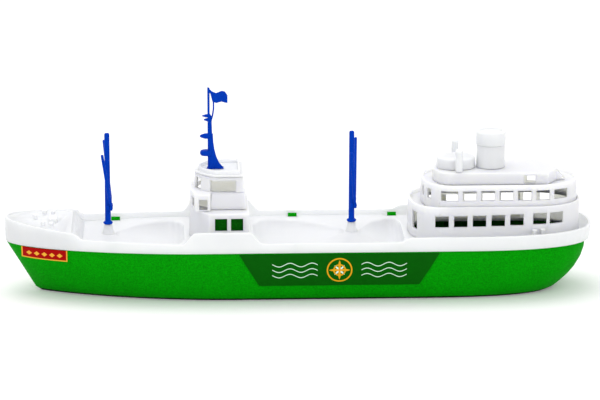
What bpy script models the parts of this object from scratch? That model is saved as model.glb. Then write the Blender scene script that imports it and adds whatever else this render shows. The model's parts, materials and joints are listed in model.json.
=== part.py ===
"""Toy cargo boat: a green hull, a white deck with two stacked houses, and blue masts.

Metres, +X to the bow, +Y to port, +Z up. The origin is on the flat of the keel, amidships.
"""
import math

import bmesh
import bpy
from mathutils import Matrix, Vector

# Fits shared by all the mouldings
CLEARANCE = 0.0003          # gap left wherever two pieces meet
WALL = 0.0022               # moulded wall thickness
SEAT_SHARE = 0.55           # a spigot stands in from the wall above it by this share of a wall
SPIGOT_DEPTH = 0.0020       # how far a spigot reaches into the piece below
SOFTENING = 0.0006          # small chamfer on turned edges
OVERCUT = 0.0010            # how far a cutter runs past the face it cuts

# Hull
BOAT_LENGTH = 0.4600        # over the white skirt
HULL_DEPTH = 0.0413         # keel to the seam under the skirt
HULL_BEAM = 0.1030          # at the seam
KEEL_SHARE = 0.757          # width of the flat bottom against the beam
KEEL_ROUNDING = 0.0018
STEM_RAKE = 0.0245          # the stem slopes back by this much down to the keel
STERN_RAKE = 0.0265
BOW_ENTRY_SHARE = 0.326     # length of the curved bow, seen from above, against the boat's
STERN_RUN_SHARE = 0.224
BILGE_POWER = 2.2           # how quickly the sides fill out above the keel
STERN_POWER = 2.1
BOW_POWERS = (1.7, 2.0)     # plan curve of the bow at the seam
KEEL_BOW_POWERS = (1.8, 1.15)
STERN_POWERS = (2.6, 2.6)
TAB_LENGTH = 0.0070
TAB_THICKNESS = 0.0020
TAB_RISE = 0.0026           # how far a snap tab shows above the deck
TAB_ROOT = 0.0060           # how far it runs down the hull wall
TAB_PLACES = (0.313, 0.0065, -0.1667)   # places along the boat are shares of its length

# Deck; rises are heights above it
BOW_OVERHANG = 0.0006       # skirt beyond the hull at the stem
STERN_OVERHANG = 0.0045
SIDE_OVERHANG = 0.0014
BULWARK_FLARE = 0.0012
STEM_FLARE = 0.0003         # the stem of the skirt is almost upright
DECK_RISE = 0.0037          # deck above the seam
BULWARK_RISE = 0.0040
BREAK_RISE = 0.0055         # bulwark at the foot of the steps
SHOULDER_RISE = 0.0130      # bulwark beside the bridge
AFT_BULWARK_RISE = 0.0075
STEM_LIP = 0.0008           # bulwark above the fore deck at the stem
FORECASTLE_LIP = 0.0007     # and at its after end
FORECASTLE_RISE = 0.0095
FORECASTLE_SHEER = 0.0050   # further rise of the fore deck up to the stem
FORECASTLE_LENGTH = 0.0526
STEP_COUNT = 7
STEP_RUN = 0.0012
RAMP_LENGTH = 0.0100        # bulwark ramps beside the houses
BRIDGE_RAMP_LAP = 0.0040    # the ramp at the bridge's front ends this far behind it
BULWARK_LAP = 0.0004        # how far the fore deck runs into the bulwark
HOLD_DEPTH = 0.0120
HOLD_SIDE_DECK = 0.0055     # deck left between a hold and the bulwark
HOLD_SIDE_POWER = 4.3       # how full the hold's section is
HOLD_ROLL = 0.0025          # width of the deck's roll into a hold
HOLD_ROLL_DROP = 0.0008
HOLD_TIP_WIDTH = 0.0300
HOLD_TIP_PINCH = 0.25       # the very tip is narrowed to this share
HOLD_PINCH_RUN = 0.40       # over this share of a hold's length
HOLD_MARGIN = 0.0040        # deck left between a hold and a house
HOLD_TIP_MARGIN = 0.0026    # and between a hold and a pedestal
PEDESTAL_WALL = 0.0013      # round the peg's socket
PEDESTAL_HEIGHT = 0.0075
PEDESTAL_FLARE = 0.0016     # its foot spreads out on the deck by this much
PEDESTAL_BOSS = 0.0070      # depth of the boss under the deck
CAPSTAN_DIAMETER = 0.0042
CAPSTAN_HEIGHT = 0.0040
CAPSTAN_SETBACK = 0.0240    # from the stem
WINCH_LENGTH = 0.0060
WINCH_WIDTH = 0.0140
WINCH_HEIGHT = 0.0030
WINCH_SETBACK = 0.0380
BOLLARD_DIAMETER = 0.0034
BOLLARD_SPACING = 0.0066
BOW_BOLLARD_SETBACK = 0.0340
BOW_BOLLARD_SPREAD = 0.0360
BOW_BOLLARD_HEIGHT = 0.0034
STERN_BOLLARD_PLACE = -0.402
STERN_BOLLARD_HEIGHT = 0.0100
STERN_BOLLARD_INSET = 0.0045    # from the bulwark to the bollard's axis

# Masts and booms
FOREMAST_PLACE = 0.3244
MAINMAST_PLACE = -0.0906
PEG_DIAMETER = 0.0036
PEG_LENGTH = 0.0110
COLLAR_DIAMETER = 0.0078
COLLAR_HEIGHT = 0.0026
MAST_DIAMETER = 0.0046
MAST_TOP_DIAMETER = 0.0040
MAST_LENGTH = 0.0700        # above the collar
HEEL_HEIGHT = 0.0110        # boom pins above the collar
BAR_DEPTH = 0.0024
BAR_HEIGHT = 0.0030
BAR_END = 0.0016            # bar beyond the pins
PIN_DIAMETER = 0.0018
PIN_SPREAD = 0.0080
EYE_WALL = 0.0010
EYE_THICKNESS = 0.0022
BOOM_DIAMETER = 0.0026
BOOM_TIP_DIAMETER = 0.0022
BOOM_LENGTH = 0.0530
BOOM_SPLAY = 25.0           # degrees outward from upright
FORE_BOOM_LEANS = (6.5, 6.0)    # degrees forward, port then starboard
MAIN_BOOM_LEANS = (4.5, -2.2)

# Bridge; sills and heads of windows are shares of their storey's height
BRIDGE_PLACE = 0.0859           # its aft wall
BRIDGE_LENGTH = 0.0460
BRIDGE_SIDE_SHARE = 0.68        # flat part of its sides
BRIDGE_NOSE_SHARE = 0.22        # width of the front facet
BRIDGE_CORNER = (0.62, 0.66)    # corner between the front's facets, along and across
BRIDGE_LOWER_WIDTH = 0.0760
BRIDGE_LOWER_HEIGHT = 0.0240
BRIDGE_UPPER_WIDTH = 0.0490
BRIDGE_UPPER_HEIGHT = 0.0253
BRIDGE_UPPER_SETBACK = 0.0020   # aft wall ahead of the lower storey's
BRIDGE_UPPER_FRONT_SETBACK = 0.0012
MIDDLE_STOREY_SHARE = 0.53      # height of the ledge under the wheelhouse
WHEELHOUSE_STEP = 0.0005        # ledge's width
BRIDGE_RAKE = 0.0030            # how far the front leans back up to the roof
BRIDGE_AFT_RAKE = 0.0014
BRIDGE_TAPER = 0.0010           # how far each side leans in
BLOCK_SETBACK = 0.0007          # block round the middle storey's front, from the lower storey's
BLOCK_LENGTH = 0.0155
BLOCK_WIDTH = 0.0600
BLOCK_NOSE_WIDTH = 0.0200
BLOCK_NOSE_DEPTH = 0.0038       # how far its front falls back to the sides
BLOCK_HEIGHT_SHARE = 0.54       # its top, share of the upper storeys' height
BLOCK_FLOOR = 0.0010
BRIDGE_LOWER_WINDOW = (0.0094, 0.44, 0.84)      # width, sill and head
BRIDGE_LOWER_WINDOW_PLACES = (0.475, 0.206)     # shares of the bridge's length
BLOCK_WINDOW = (0.0064, 0.06, 0.37)
BLOCK_WINDOW_PLACE = 0.640      # share of the block's length from its front
SLIT_WINDOW = (0.0104, 0.10, 0.38)
WHEELHOUSE_WINDOW = (0.0196, 0.565, 0.90)
WHEELHOUSE_WINDOW_PLACE = 0.430
WHEELHOUSE_FRONT_WINDOW = (0.0084, 0.565, 0.90)
ROOF_THICKNESS = 0.0018
ROOF_RIM_HEIGHT = 0.0030
ROOF_RIM_WIDTH = 0.0014
ROOF_RIM_INSET = 0.0026

# Radar mast; heights of its fittings are shares of the post's
RADAR_MAST_PLACE = 0.633        # share of the bridge's length
RADAR_PEG_DIAMETER = 0.0040
RADAR_PEG_LENGTH = 0.0050
RADAR_SOCKET_WALL = 0.0018
RADAR_FOOT_WIDTH = 0.0056
RADAR_FOOT_THICKNESS = 0.0008
RADAR_POST_DIAMETER = 0.0044
RADAR_POST_TOP_DIAMETER = 0.0032
RADAR_POST_LENGTH = 0.0430
ROD_DIAMETER = 0.0018
ROD_LENGTH = 0.0206
FIN_LENGTH = 0.0075
FIN_HEIGHT_SHARE = 0.62
FIN_THICKNESS = 0.0026
RADAR_DIAMETER = 0.0096
RADAR_THICKNESS = 0.0046
RADAR_REACH = 0.0034            # post's axis to the radar's middle
RADAR_LEVEL = 0.27
LAMP_LEVEL = 0.58
LAMP_LENGTH = 0.0081
LAMP_DIAMETER = 0.0044
HORN_LEVEL = 0.955
HORN_LENGTH = 0.0061
HORN_DIAMETER = 0.0027
HORN_GAP = 0.0031
FLAG_LENGTH = 0.0148
FLAG_HEIGHT = 0.0114            # hoist to the lowest edge
FLAG_THICKNESS = 0.0012
FLAG_WAVE = 0.0010
FLAG_DROP = 0.0009              # flag's top below the rod's top
FLAG_OUTLINE = (                # shares along it, down to its upper edge and down to its lower edge
    (0.00, 0.00, 0.14), (0.10, 0.08, 0.36), (0.20, 0.19, 0.88), (0.40, 0.31, 1.00),
    (0.70, 0.18, 0.93), (0.86, 0.23, 1.00), (1.00, 0.47, 1.02))
HALYARD_PLACE = 0.19            # share of the flag's length
HALYARD_DIAMETER = 0.0012
HALYARD_BOW = 0.0018            # how far the halyard swings out

# Aft houses; windows are (width, sill, head) with shares of the tier's height
AFT_FRONT_PLACE = -0.187
AFT_STERN_MARGIN = 0.0095       # from the end of the boat
AFT_WIDTH = 0.0730
AFT_FRONT_DEPTH = 0.0240        # length of the rounded front
AFT_STERN_DEPTH = 0.0420
AFT_POWERS = (2.3, 2.3)
AFT_LOWER_HEIGHT = 0.0240       # deck to the floor of the well
AFT_LOWER_PARAPET = 0.0030
AFT_LOWER_WINDOW = (0.0105, 0.458, 0.833)
AFT_LOWER_WINDOW_RUNS = ((0.178, 0.1082, 5), (0.744, 0.0974, 2))   # first, pitch, count
AFT_DOOR = (0.0086, 0.29, 0.875)
AFT_DOOR_FACETS = (3, 5)
UPPER_SETBACK = 0.0100          # upper tier behind the lower one's front
UPPER_SIDE_SET_IN = 0.0025
UPPER_STERN_SET_IN = 0.0020
AFT_UPPER_HEIGHT = 0.0174
AFT_UPPER_PARAPET = 0.0021
AFT_UPPER_WINDOW = (0.0106, 0.425, 0.862)
AFT_UPPER_WINDOW_RUNS = ((0.231, 0.1063, 7),)
FIRST_WINDOW_EXTRA = 0.0022     # the first of them runs further forward by this much
FRONT_WINDOW = (0.0060, 0.425, 0.862)
FRONT_WINDOW_FACETS = ((1, 3), (4, 5))
WINDOW_SHEER = 0.26             # rise of the windows to the stern, share of the lower tier
TOP_SETBACK = 0.0095            # top house behind the upper tier's front
TOP_STERN_SETBACK = 0.0170
TOP_WIDTH = 0.0450
TOP_FRONT_DEPTH = 0.0140
TOP_POWERS = (2.2, 2.2)         # plan curve of its front
TOP_CORNER = (0.0078, 0.0130)   # cut off its after corners, along and across
TOP_SLOPE_LENGTH = 0.0066       # sloping end behind it
TOP_SLOPE_WIDTH = 0.0176
TOP_HEIGHT = 0.0094
TOP_DOOR = (0.0090, 0.10, 0.76)
TOP_DOOR_PLACE = 0.770          # shares of the top house's length
VENT_PLACE = 0.195
FUNNEL_PLACE = 0.470
SKYLIGHT_GAP = 0.0006           # between the low house and the funnel cap
SKYLIGHT_LENGTH = 0.0300
SKYLIGHT_WIDTH = 0.0260
SKYLIGHT_HEIGHT = 0.0088
SKYLIGHT_CROWN = 0.0010
VENT_GAP = 0.0024               # between a vent and the low house
VENT_DIAMETER = 0.0056
VENT_HEAD_SHARE = 1.12          # head's diameter against the vent's
VENT_HEIGHT = 0.0180
VENT_PEG_DIAMETER = 0.0030
FUNNEL_DIAMETER = 0.0222
FUNNEL_HEIGHT = 0.0178
FUNNEL_CAP_LAP = 0.0006         # cap beyond the funnel
FUNNEL_CAP_HEIGHT = 0.0110
FUNNEL_CAP_RECESS = 0.0014

# Stickers on the hull; drops are shares of its depth, below the seam
LABEL_THICKNESS = 0.0004
BOW_LABEL_LENGTH = 0.0358
BOW_LABEL_SETBACK = 0.0140      # from the stem
BOW_LABEL_DROPS = (0.010, 0.235)
SIDE_LABEL_LENGTH = 0.1548
SIDE_LABEL_PLACE = 0.1037       # its forward end
SIDE_LABEL_DROPS = (0.030, 0.660)
SIDE_LABEL_SLANT = 0.0154

# Facets
BOW_FACETS = 16
MID_FACETS = 8
STERN_FACETS = 14
ROUND_FACETS = 24
SMALL_FACETS = 16
RAMP_FACETS = 6
SMOOTH_ANGLE = 35.0         # degrees between faces that are shaded as one surface
SLOPE_STEP = 0.0005         # length over which a slope of the hull's side is taken

COLOURS = {
    "green": (0.004, 0.270, 0.006),
    "white": (0.86, 0.87, 0.87),
    "blue": (0.003, 0.045, 0.440),
    "red": (0.60, 0.02, 0.02),
    "dark green": (0.006, 0.130, 0.010),
}


def clear_scene():
    for old in list(bpy.data.objects):
        bpy.data.objects.remove(old)


def plastic(name, colour):
    """One moulded plastic for each piece."""
    material = bpy.data.materials.new(name + "_plastic")
    material.use_nodes = True
    shader = material.node_tree.nodes["Principled BSDF"]
    shader.inputs["Base Color"].default_value = COLOURS[colour] + (1.0,)
    shader.inputs["Roughness"].default_value = 0.35
    shader.inputs["Metallic"].default_value = 0.0
    return material


def add_object(name, bm, colour=None):
    """Turn a bmesh into an object; without a colour it is a hidden cutter or filler."""
    bmesh.ops.recalc_face_normals(bm, faces=bm.faces)
    mesh = bpy.data.meshes.new(name)
    bm.to_mesh(mesh)
    bm.free()
    item = bpy.data.objects.new(name, mesh)
    bpy.context.scene.collection.objects.link(item)
    if colour:
        mesh.materials.append(plastic(name, colour))
        mesh.shade_smooth()
        mesh.set_sharp_from_angle(angle=math.radians(SMOOTH_ANGLE))
    else:
        item.hide_render = True
        item.display_type = "WIRE"
    return item


def combine(item, tool, operation):
    """Add or cut with an exact Boolean modifier."""
    step = item.modifiers.new(operation.lower() + "_" + tool.name, "BOOLEAN")
    step.operation = operation
    step.solver = "EXACT"
    step.object = tool


def add_to(item, name, bm):
    combine(item, add_object(item.name + "_" + name, bm), "UNION")


def cut_from(item, name, bm):
    combine(item, add_object(item.name + "_" + name, bm), "DIFFERENCE")


def set_place(item, place):
    """Put a piece's origin on its axis, and its cutters with it."""
    item.location = place
    for step in item.modifiers:
        step.object.location = place


def loft(loops):
    """Skin a row of equal loops of points and close both ends."""
    bm = bmesh.new()
    rings = [[bm.verts.new(point) for point in loop] for loop in loops]
    count = len(rings[0])
    for lower, upper in zip(rings, rings[1:]):
        for i in range(count):
            j = (i + 1) % count
            bm.faces.new((lower[i], lower[j], upper[j], upper[i]))
    bm.faces.new(list(reversed(rings[0])))
    bm.faces.new(rings[-1])
    return bm


def at_height(outline, z):
    return [(x, y, z) for x, y in outline]


def prism(outline, low, high):
    return loft([at_height(outline, low), at_height(outline, high)])


def box(low, high):
    outline = [(low[0], low[1]), (high[0], low[1]), (high[0], high[1]), (low[0], high[1])]
    return prism(outline, low[2], high[2])


def turned(profile, facets, centre=(0.0, 0.0, 0.0)):
    """Turn (radius, height) pairs about a vertical axis."""
    loops = []
    for radius, height in profile:
        loop = []
        for i in range(facets):
            angle = 2.0 * math.pi * i / facets
            loop.append((centre[0] + radius * math.cos(angle),
                         centre[1] + radius * math.sin(angle),
                         centre[2] + height))
        loops.append(loop)
    return loft(loops)


def turned_along(direction, profile, facets, start):
    """Turn a profile about another axis, from a start point."""
    bm = turned(profile, facets)
    turn = Vector((0.0, 0.0, 1.0)).rotation_difference(Vector(direction)).to_matrix().to_4x4()
    bmesh.ops.transform(bm, matrix=Matrix.Translation(start) @ turn, verts=bm.verts)
    return bm


def tilted_box(centre, size, angle):
    """Box turned about a vertical axis through its centre."""
    half = [value / 2.0 for value in size]
    bm = box([-value for value in half], half)
    place = Matrix.Translation(centre) @ Matrix.Rotation(angle, 4, "Z")
    bmesh.ops.transform(bm, matrix=place, verts=bm.verts)
    return bm


def plate_across(points, thickness):
    """Upright plate along X, as thick as given across the boat."""
    half = thickness / 2.0
    return loft([[(x, -half, z) for x, z in points], [(x, half, z) for x, z in points]])


def mix(start, end, share):
    return start + (end - start) * share


def inset(outline, distance):
    """Move every side of a convex outline inward and meet the sides again."""
    count = len(outline)
    area = sum(outline[i][0] * outline[(i + 1) % count][1]
               - outline[(i + 1) % count][0] * outline[i][1] for i in range(count))
    turn = 1.0 if area > 0.0 else -1.0
    sides = []
    for i in range(count):
        start = Vector(outline[i])
        along = (Vector(outline[(i + 1) % count]) - start).normalized()
        inward = Vector((-along.y, along.x)) * turn
        sides.append((start + inward * distance, along))
    moved = []
    for i in range(count):
        (p, a), (q, b) = sides[i - 1], sides[i]
        cross = a.x * b.y - a.y * b.x
        if abs(cross) < 1e-6:
            moved.append((q.x, q.y))
        else:
            share = ((q.x - p.x) * b.y - (q.y - p.y) * b.x) / cross
            moved.append((p.x + a.x * share, p.y + a.y * share))
    return moved


def mirrored(half_outline):
    """Close a port half outline, bow tip to stern tip, with its starboard half."""
    port = list(half_outline)
    starboard = [(x, -y) for x, y in reversed(port) if y > 1e-9]
    return port + starboard


def rounded_half(front, aft, half_width, front_depth, aft_depth, powers, aft_powers, counts):
    """Port half of a plan shape with a curved front, flat sides and a curved stern."""
    points = []
    for i in range(counts[0]):
        angle = 0.5 * math.pi * i / counts[0]
        reach = (1.0 - math.sin(angle) ** powers[1]) ** (1.0 / powers[0])
        points.append((front - front_depth * (1.0 - reach), half_width * math.sin(angle)))
    shoulder = front - front_depth
    quarter = aft + aft_depth
    for i in range(counts[1]):
        points.append((mix(shoulder, quarter, i / counts[1]), half_width))
    for i in range(counts[2] + 1):
        angle = 0.5 * math.pi * (1.0 - i / counts[2])
        reach = (1.0 - math.sin(angle) ** aft_powers[1]) ** (1.0 / aft_powers[0])
        points.append((quarter - aft_depth * reach, half_width * math.sin(angle)))
    points[0] = (front, 0.0)
    points[-1] = (aft, 0.0)
    return points


# Places and levels that follow from the sizes

SEAT = SEAT_SHARE * WALL
STEM = BOAT_LENGTH / 2.0
HULL_BOW = STEM - BOW_OVERHANG
HULL_STERN = STERN_OVERHANG - STEM
KEEL_BEAM = KEEL_SHARE * HULL_BEAM
BOW_ENTRY = BOW_ENTRY_SHARE * BOAT_LENGTH
STERN_RUN = STERN_RUN_SHARE * BOAT_LENGTH
BOW_SHOULDER = HULL_BOW - BOW_ENTRY
STERN_SHOULDER = HULL_STERN + STERN_RUN
DECK_Z = HULL_DEPTH + DECK_RISE
FORECASTLE_Z = DECK_Z + FORECASTLE_RISE
FORECASTLE_BREAK = STEM - FORECASTLE_LENGTH
STEPS_FOOT = FORECASTLE_BREAK - STEP_RUN * STEP_COUNT
TAB_STATIONS = [place * BOAT_LENGTH for place in TAB_PLACES]
FOREMAST_X = FOREMAST_PLACE * BOAT_LENGTH
MAINMAST_X = MAINMAST_PLACE * BOAT_LENGTH
BRIDGE_AFT_X = BRIDGE_PLACE * BOAT_LENGTH
BRIDGE_FRONT_X = BRIDGE_AFT_X + BRIDGE_LENGTH
BRIDGE_RAMP_TOP = BRIDGE_FRONT_X - BRIDGE_RAMP_LAP
BRIDGE_LOWER_Z = DECK_Z + BRIDGE_LOWER_HEIGHT
BRIDGE_UPPER_Z = BRIDGE_LOWER_Z + BRIDGE_UPPER_HEIGHT
ROOF_Z = BRIDGE_UPPER_Z + CLEARANCE + ROOF_THICKNESS
RADAR_MAST_X = BRIDGE_AFT_X + RADAR_MAST_PLACE * BRIDGE_LENGTH
AFT_FRONT_X = AFT_FRONT_PLACE * BOAT_LENGTH
AFT_LENGTH = AFT_FRONT_X + STEM - AFT_STERN_MARGIN
AFT_LOWER_Z = DECK_Z + AFT_LOWER_HEIGHT
AFT_UPPER_Z = AFT_LOWER_Z + AFT_UPPER_HEIGHT
TOP_FRONT_X = AFT_FRONT_X - UPPER_SETBACK - TOP_SETBACK
TOP_LENGTH = TOP_FRONT_X + STEM - AFT_STERN_MARGIN - UPPER_STERN_SET_IN - TOP_STERN_SETBACK
TOP_Z = AFT_UPPER_Z + TOP_HEIGHT
VENT_X = TOP_FRONT_X - VENT_PLACE * TOP_LENGTH
VENT_HEAD = VENT_HEAD_SHARE * VENT_DIAMETER / 2.0
VENT_Y = SKYLIGHT_WIDTH / 2.0 + VENT_GAP + VENT_HEAD
FUNNEL_X = TOP_FRONT_X - FUNNEL_PLACE * TOP_LENGTH
PEG_SOCKET = PEG_DIAMETER / 2.0 + CLEARANCE
PEDESTAL_RADIUS = PEG_SOCKET + PEDESTAL_WALL
MAST_BASE = DECK_Z + PEDESTAL_HEIGHT + CLEARANCE
HEEL_Z = MAST_BASE + COLLAR_HEIGHT + HEEL_HEIGHT
BOOM_X = -(BAR_DEPTH / 2.0 + CLEARANCE + EYE_THICKNESS / 2.0)
PIN_BORE = PIN_DIAMETER / 2.0 + CLEARANCE


# Hull form

def hull_form(z, inward=0.0):
    """Bow, stern, half beam and bow curve of the hull at a height."""
    share = min(max(z / HULL_DEPTH, 0.0), 1.0)
    bow = HULL_BOW - STEM_RAKE * (1.0 - share) - 1.6 * inward
    stern = HULL_STERN + STERN_RAKE * (1.0 - share) ** STERN_POWER + 1.2 * inward
    fill = 1.0 - (1.0 - share) ** BILGE_POWER
    half = mix(KEEL_BEAM, HULL_BEAM, fill) / 2.0 - inward
    powers = [mix(low, high, fill) for low, high in zip(KEEL_BOW_POWERS, BOW_POWERS)]
    return bow, stern, half, powers


def hull_outline(z, inward=0.0):
    bow, stern, half, powers = hull_form(z, inward)
    shape = rounded_half(bow, stern, half, BOW_ENTRY, STERN_RUN, powers, STERN_POWERS,
                         (BOW_FACETS, MID_FACETS, STERN_FACETS))
    return mirrored(shape)


def half_breadth(x, z):
    """Distance of the hull's side from the middle at one station."""
    bow, stern, half, powers = hull_form(z)
    forward = (x - (bow - BOW_ENTRY)) / BOW_ENTRY
    aft = ((stern + STERN_RUN) - x) / STERN_RUN
    if forward > 0.0:
        return half * max(1.0 - forward ** powers[0], 0.0) ** (1.0 / powers[1])
    if aft > 0.0:
        return half * max(1.0 - aft ** STERN_POWERS[0], 0.0) ** (1.0 / STERN_POWERS[1])
    return half


def deck_tip(outward):
    """Stem of the deck moulding; distances are measured out from the hull's plan at the seam."""
    wall = 0.0 if outward >= SIDE_OVERHANG else WALL
    rise = (SIDE_OVERHANG + BULWARK_FLARE - wall - outward) / BULWARK_FLARE
    return STEM - wall - STEM_FLARE * rise


def deck_stern(outward):
    return SIDE_OVERHANG + BULWARK_FLARE - outward - STEM


def deck_edge(x, outward):
    """Half width of the deck moulding at one station."""
    half = HULL_BEAM / 2.0 + outward
    forward = (x - BOW_SHOULDER) / (deck_tip(outward) - BOW_SHOULDER)
    aft = (STERN_SHOULDER - x) / (STERN_SHOULDER - deck_stern(outward))
    if forward > 0.0:
        return half * max(1.0 - forward ** BOW_POWERS[0], 0.0) ** (1.0 / BOW_POWERS[1])
    if aft > 0.0:
        return half * max(1.0 - aft ** STERN_POWERS[0], 0.0) ** (1.0 / STERN_POWERS[1])
    return half


def tab_place(station):
    """Inner face of a snap tab at its station on the hull wall."""
    return half_breadth(station, HULL_DEPTH) - WALL - TAB_THICKNESS + CLEARANCE


def tab_box(station, side, spare, low, high):
    inner = tab_place(station) - spare
    outer = tab_place(station) + TAB_THICKNESS + spare
    low_y, high_y = sorted((side * inner, side * outer))
    half = TAB_LENGTH / 2.0 + spare
    return box((station - half, low_y, low), (station + half, high_y, high))


def build_hull():
    rim = HULL_DEPTH - CLEARANCE
    inner_shares = (1.0, 0.75, 0.5, 0.28, 0.12)
    outer_shares = (1.0, 0.82, 0.64, 0.46, 0.3, 0.17, 0.07)
    loops = [at_height(hull_outline(mix(WALL, rim, share), WALL), mix(WALL, rim, share))
             for share in (0.0,) + tuple(reversed(inner_shares))]
    loops += [at_height(hull_outline(rim * share), rim * share) for share in outer_shares]
    loops.append(at_height(hull_outline(0.0, KEEL_ROUNDING), 0.0))
    hull = add_object("hull", loft(loops), "green")
    for station in TAB_STATIONS:
        for side, word in ((1, "port"), (-1, "starboard")):
            tab = tab_box(station, side, 0.0, rim - TAB_ROOT, DECK_Z + TAB_RISE)
            add_to(hull, "tab_%s_%d" % (word, TAB_STATIONS.index(station)), tab)
    return hull


# Houses' plan shapes, used by the deck's openings too

def bridge_outline(width, front_in=0.0, aft_in=0.0):
    """Flat sides and a front of five facets; the ends can be set in."""
    half = width / 2.0
    front = BRIDGE_FRONT_X - front_in
    side_end = BRIDGE_AFT_X + BRIDGE_SIDE_SHARE * BRIDGE_LENGTH - front_in
    along, across = BRIDGE_CORNER
    port = [(front, BRIDGE_NOSE_SHARE * half), (mix(side_end, front, along), across * half),
            (side_end, half), (BRIDGE_AFT_X + aft_in, half)]
    return port + [(x, -y) for x, y in reversed(port)]


def bridge_upper_outline(share, step=0.0):
    """Upper storeys of the bridge at a share of their height; they lean in as they rise."""
    width = BRIDGE_UPPER_WIDTH - 2.0 * (BRIDGE_TAPER * share + step)
    return bridge_outline(width, BRIDGE_UPPER_FRONT_SETBACK + BRIDGE_RAKE * share + step,
                          BRIDGE_UPPER_SETBACK + BRIDGE_AFT_RAKE * share + step)


def block_outline():
    """Block that stands out round the front of the middle storey."""
    front = BRIDGE_FRONT_X - BLOCK_SETBACK
    port = [(front, BLOCK_NOSE_WIDTH / 2.0), (front - BLOCK_NOSE_DEPTH, BLOCK_WIDTH / 2.0),
            (front - BLOCK_LENGTH, BLOCK_WIDTH / 2.0)]
    return port + [(x, -y) for x, y in reversed(port)]


def aft_outline(set_in=(0.0, 0.0, 0.0)):
    """Tier of the aft house, set in at the front, sides and stern."""
    front, side, stern = set_in
    half = rounded_half(AFT_FRONT_X - front, AFT_FRONT_X - AFT_LENGTH + stern,
                        AFT_WIDTH / 2.0 - side, AFT_FRONT_DEPTH, AFT_STERN_DEPTH,
                        AFT_POWERS, AFT_POWERS, (10, 1, 12))
    return mirrored(half)


def top_outline():
    """Rounded front, flat sides and cut-off after corners."""
    aft = TOP_FRONT_X - TOP_LENGTH
    along, across = TOP_CORNER
    half = TOP_WIDTH / 2.0
    front = rounded_half(TOP_FRONT_X, aft, half, TOP_FRONT_DEPTH, along, TOP_POWERS, TOP_POWERS,
                         (8, 1, 1))[:-2]
    return mirrored(front + [(aft + along, half), (aft, half - across)])


UPPER_SET_IN = (UPPER_SETBACK, UPPER_SIDE_SET_IN, UPPER_STERN_SET_IN)
WELL_SET_IN = (WALL, UPPER_SIDE_SET_IN - 2.0 * CLEARANCE, UPPER_STERN_SET_IN - 2.0 * CLEARANCE)


def hole_under(outline):
    """Opening that takes the spigot of the house above it."""
    return inset(outline, SEAT - CLEARANCE)


# Deck

def forecastle_level(x):
    """Height of the fore deck, which slopes up to the stem."""
    return mix(FORECASTLE_Z, FORECASTLE_Z + FORECASTLE_SHEER,
               (x - FORECASTLE_BREAK) / FORECASTLE_LENGTH)


def bulwark_top(x):
    """Height of the bulwark's top edge at a station."""
    corners = [
        (STEM, forecastle_level(STEM) + STEM_LIP),
        (FORECASTLE_BREAK, FORECASTLE_Z + FORECASTLE_LIP),
        (STEPS_FOOT, DECK_Z + BREAK_RISE),
        (BRIDGE_RAMP_TOP + RAMP_LENGTH, DECK_Z + BULWARK_RISE),
        (BRIDGE_RAMP_TOP, DECK_Z + SHOULDER_RISE),
        (BRIDGE_AFT_X, DECK_Z + SHOULDER_RISE),
        (BRIDGE_AFT_X - RAMP_LENGTH, DECK_Z + BULWARK_RISE),
        (AFT_FRONT_X + RAMP_LENGTH, DECK_Z + BULWARK_RISE),
        (AFT_FRONT_X, DECK_Z + AFT_BULWARK_RISE),
        (-STEM, DECK_Z + AFT_BULWARK_RISE),
    ]
    straight = (0, 2)
    for number, (ahead, behind) in enumerate(zip(corners, corners[1:])):
        if x >= behind[0]:
            share = (ahead[0] - x) / (ahead[0] - behind[0])
            if number not in straight:
                share = share * share * (3.0 - 2.0 * share)
            return mix(ahead[1], behind[1], share)
    return corners[-1][1]


def deck_stations():
    """Stations from the stem to the stern, close together at the ends and on the ramps."""
    stations = []
    for i in range(BOW_FACETS + 1):
        angle = 0.5 * math.pi * i / BOW_FACETS
        stations.append(STEM - BOW_ENTRY * (1.0 - math.cos(angle)))
    for i in range(STERN_FACETS + 1):
        angle = 0.5 * math.pi * i / STERN_FACETS
        stations.append(STERN_RUN * (1.0 - math.cos(angle)) - STEM)
    ramps = ((FORECASTLE_BREAK, STEPS_FOOT),
             (BRIDGE_RAMP_TOP + RAMP_LENGTH, BRIDGE_RAMP_TOP),
             (BRIDGE_AFT_X, BRIDGE_AFT_X - RAMP_LENGTH),
             (AFT_FRONT_X + RAMP_LENGTH, AFT_FRONT_X))
    for start, end in ramps:
        stations = [x for x in stations if not end < x < start]
        stations += [mix(start, end, i / RAMP_FACETS) for i in range(RAMP_FACETS + 1)]
    return sorted(stations, reverse=True)


def deck_loop(outward, height_of):
    """One closed line round the deck, a distance out from the hull's plan."""
    port = []
    for station in deck_stations():
        x = station / STEM * (deck_tip(outward) if station > 0.0 else -deck_stern(outward))
        port.append((x, deck_edge(x, outward), height_of(station)))
    starboard = [(x, -y, z) for x, y, z in reversed(port[1:-1])]
    return port + starboard


def deck_slice(x_low, x_high, outward):
    """Plan shape of the deck between two stations."""
    tip = deck_tip(outward)
    high = min(x_high, tip)
    inside = [x for x in deck_stations() if x_low + BULWARK_LAP < x < high - BULWARK_LAP]
    port = [(tip, 0.0)] if x_high >= tip else [(x_high, deck_edge(x_high, outward))]
    port += [(x, deck_edge(x, outward)) for x in inside]
    port.append((x_low, deck_edge(x_low, outward)))
    return mirrored(port)


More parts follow.
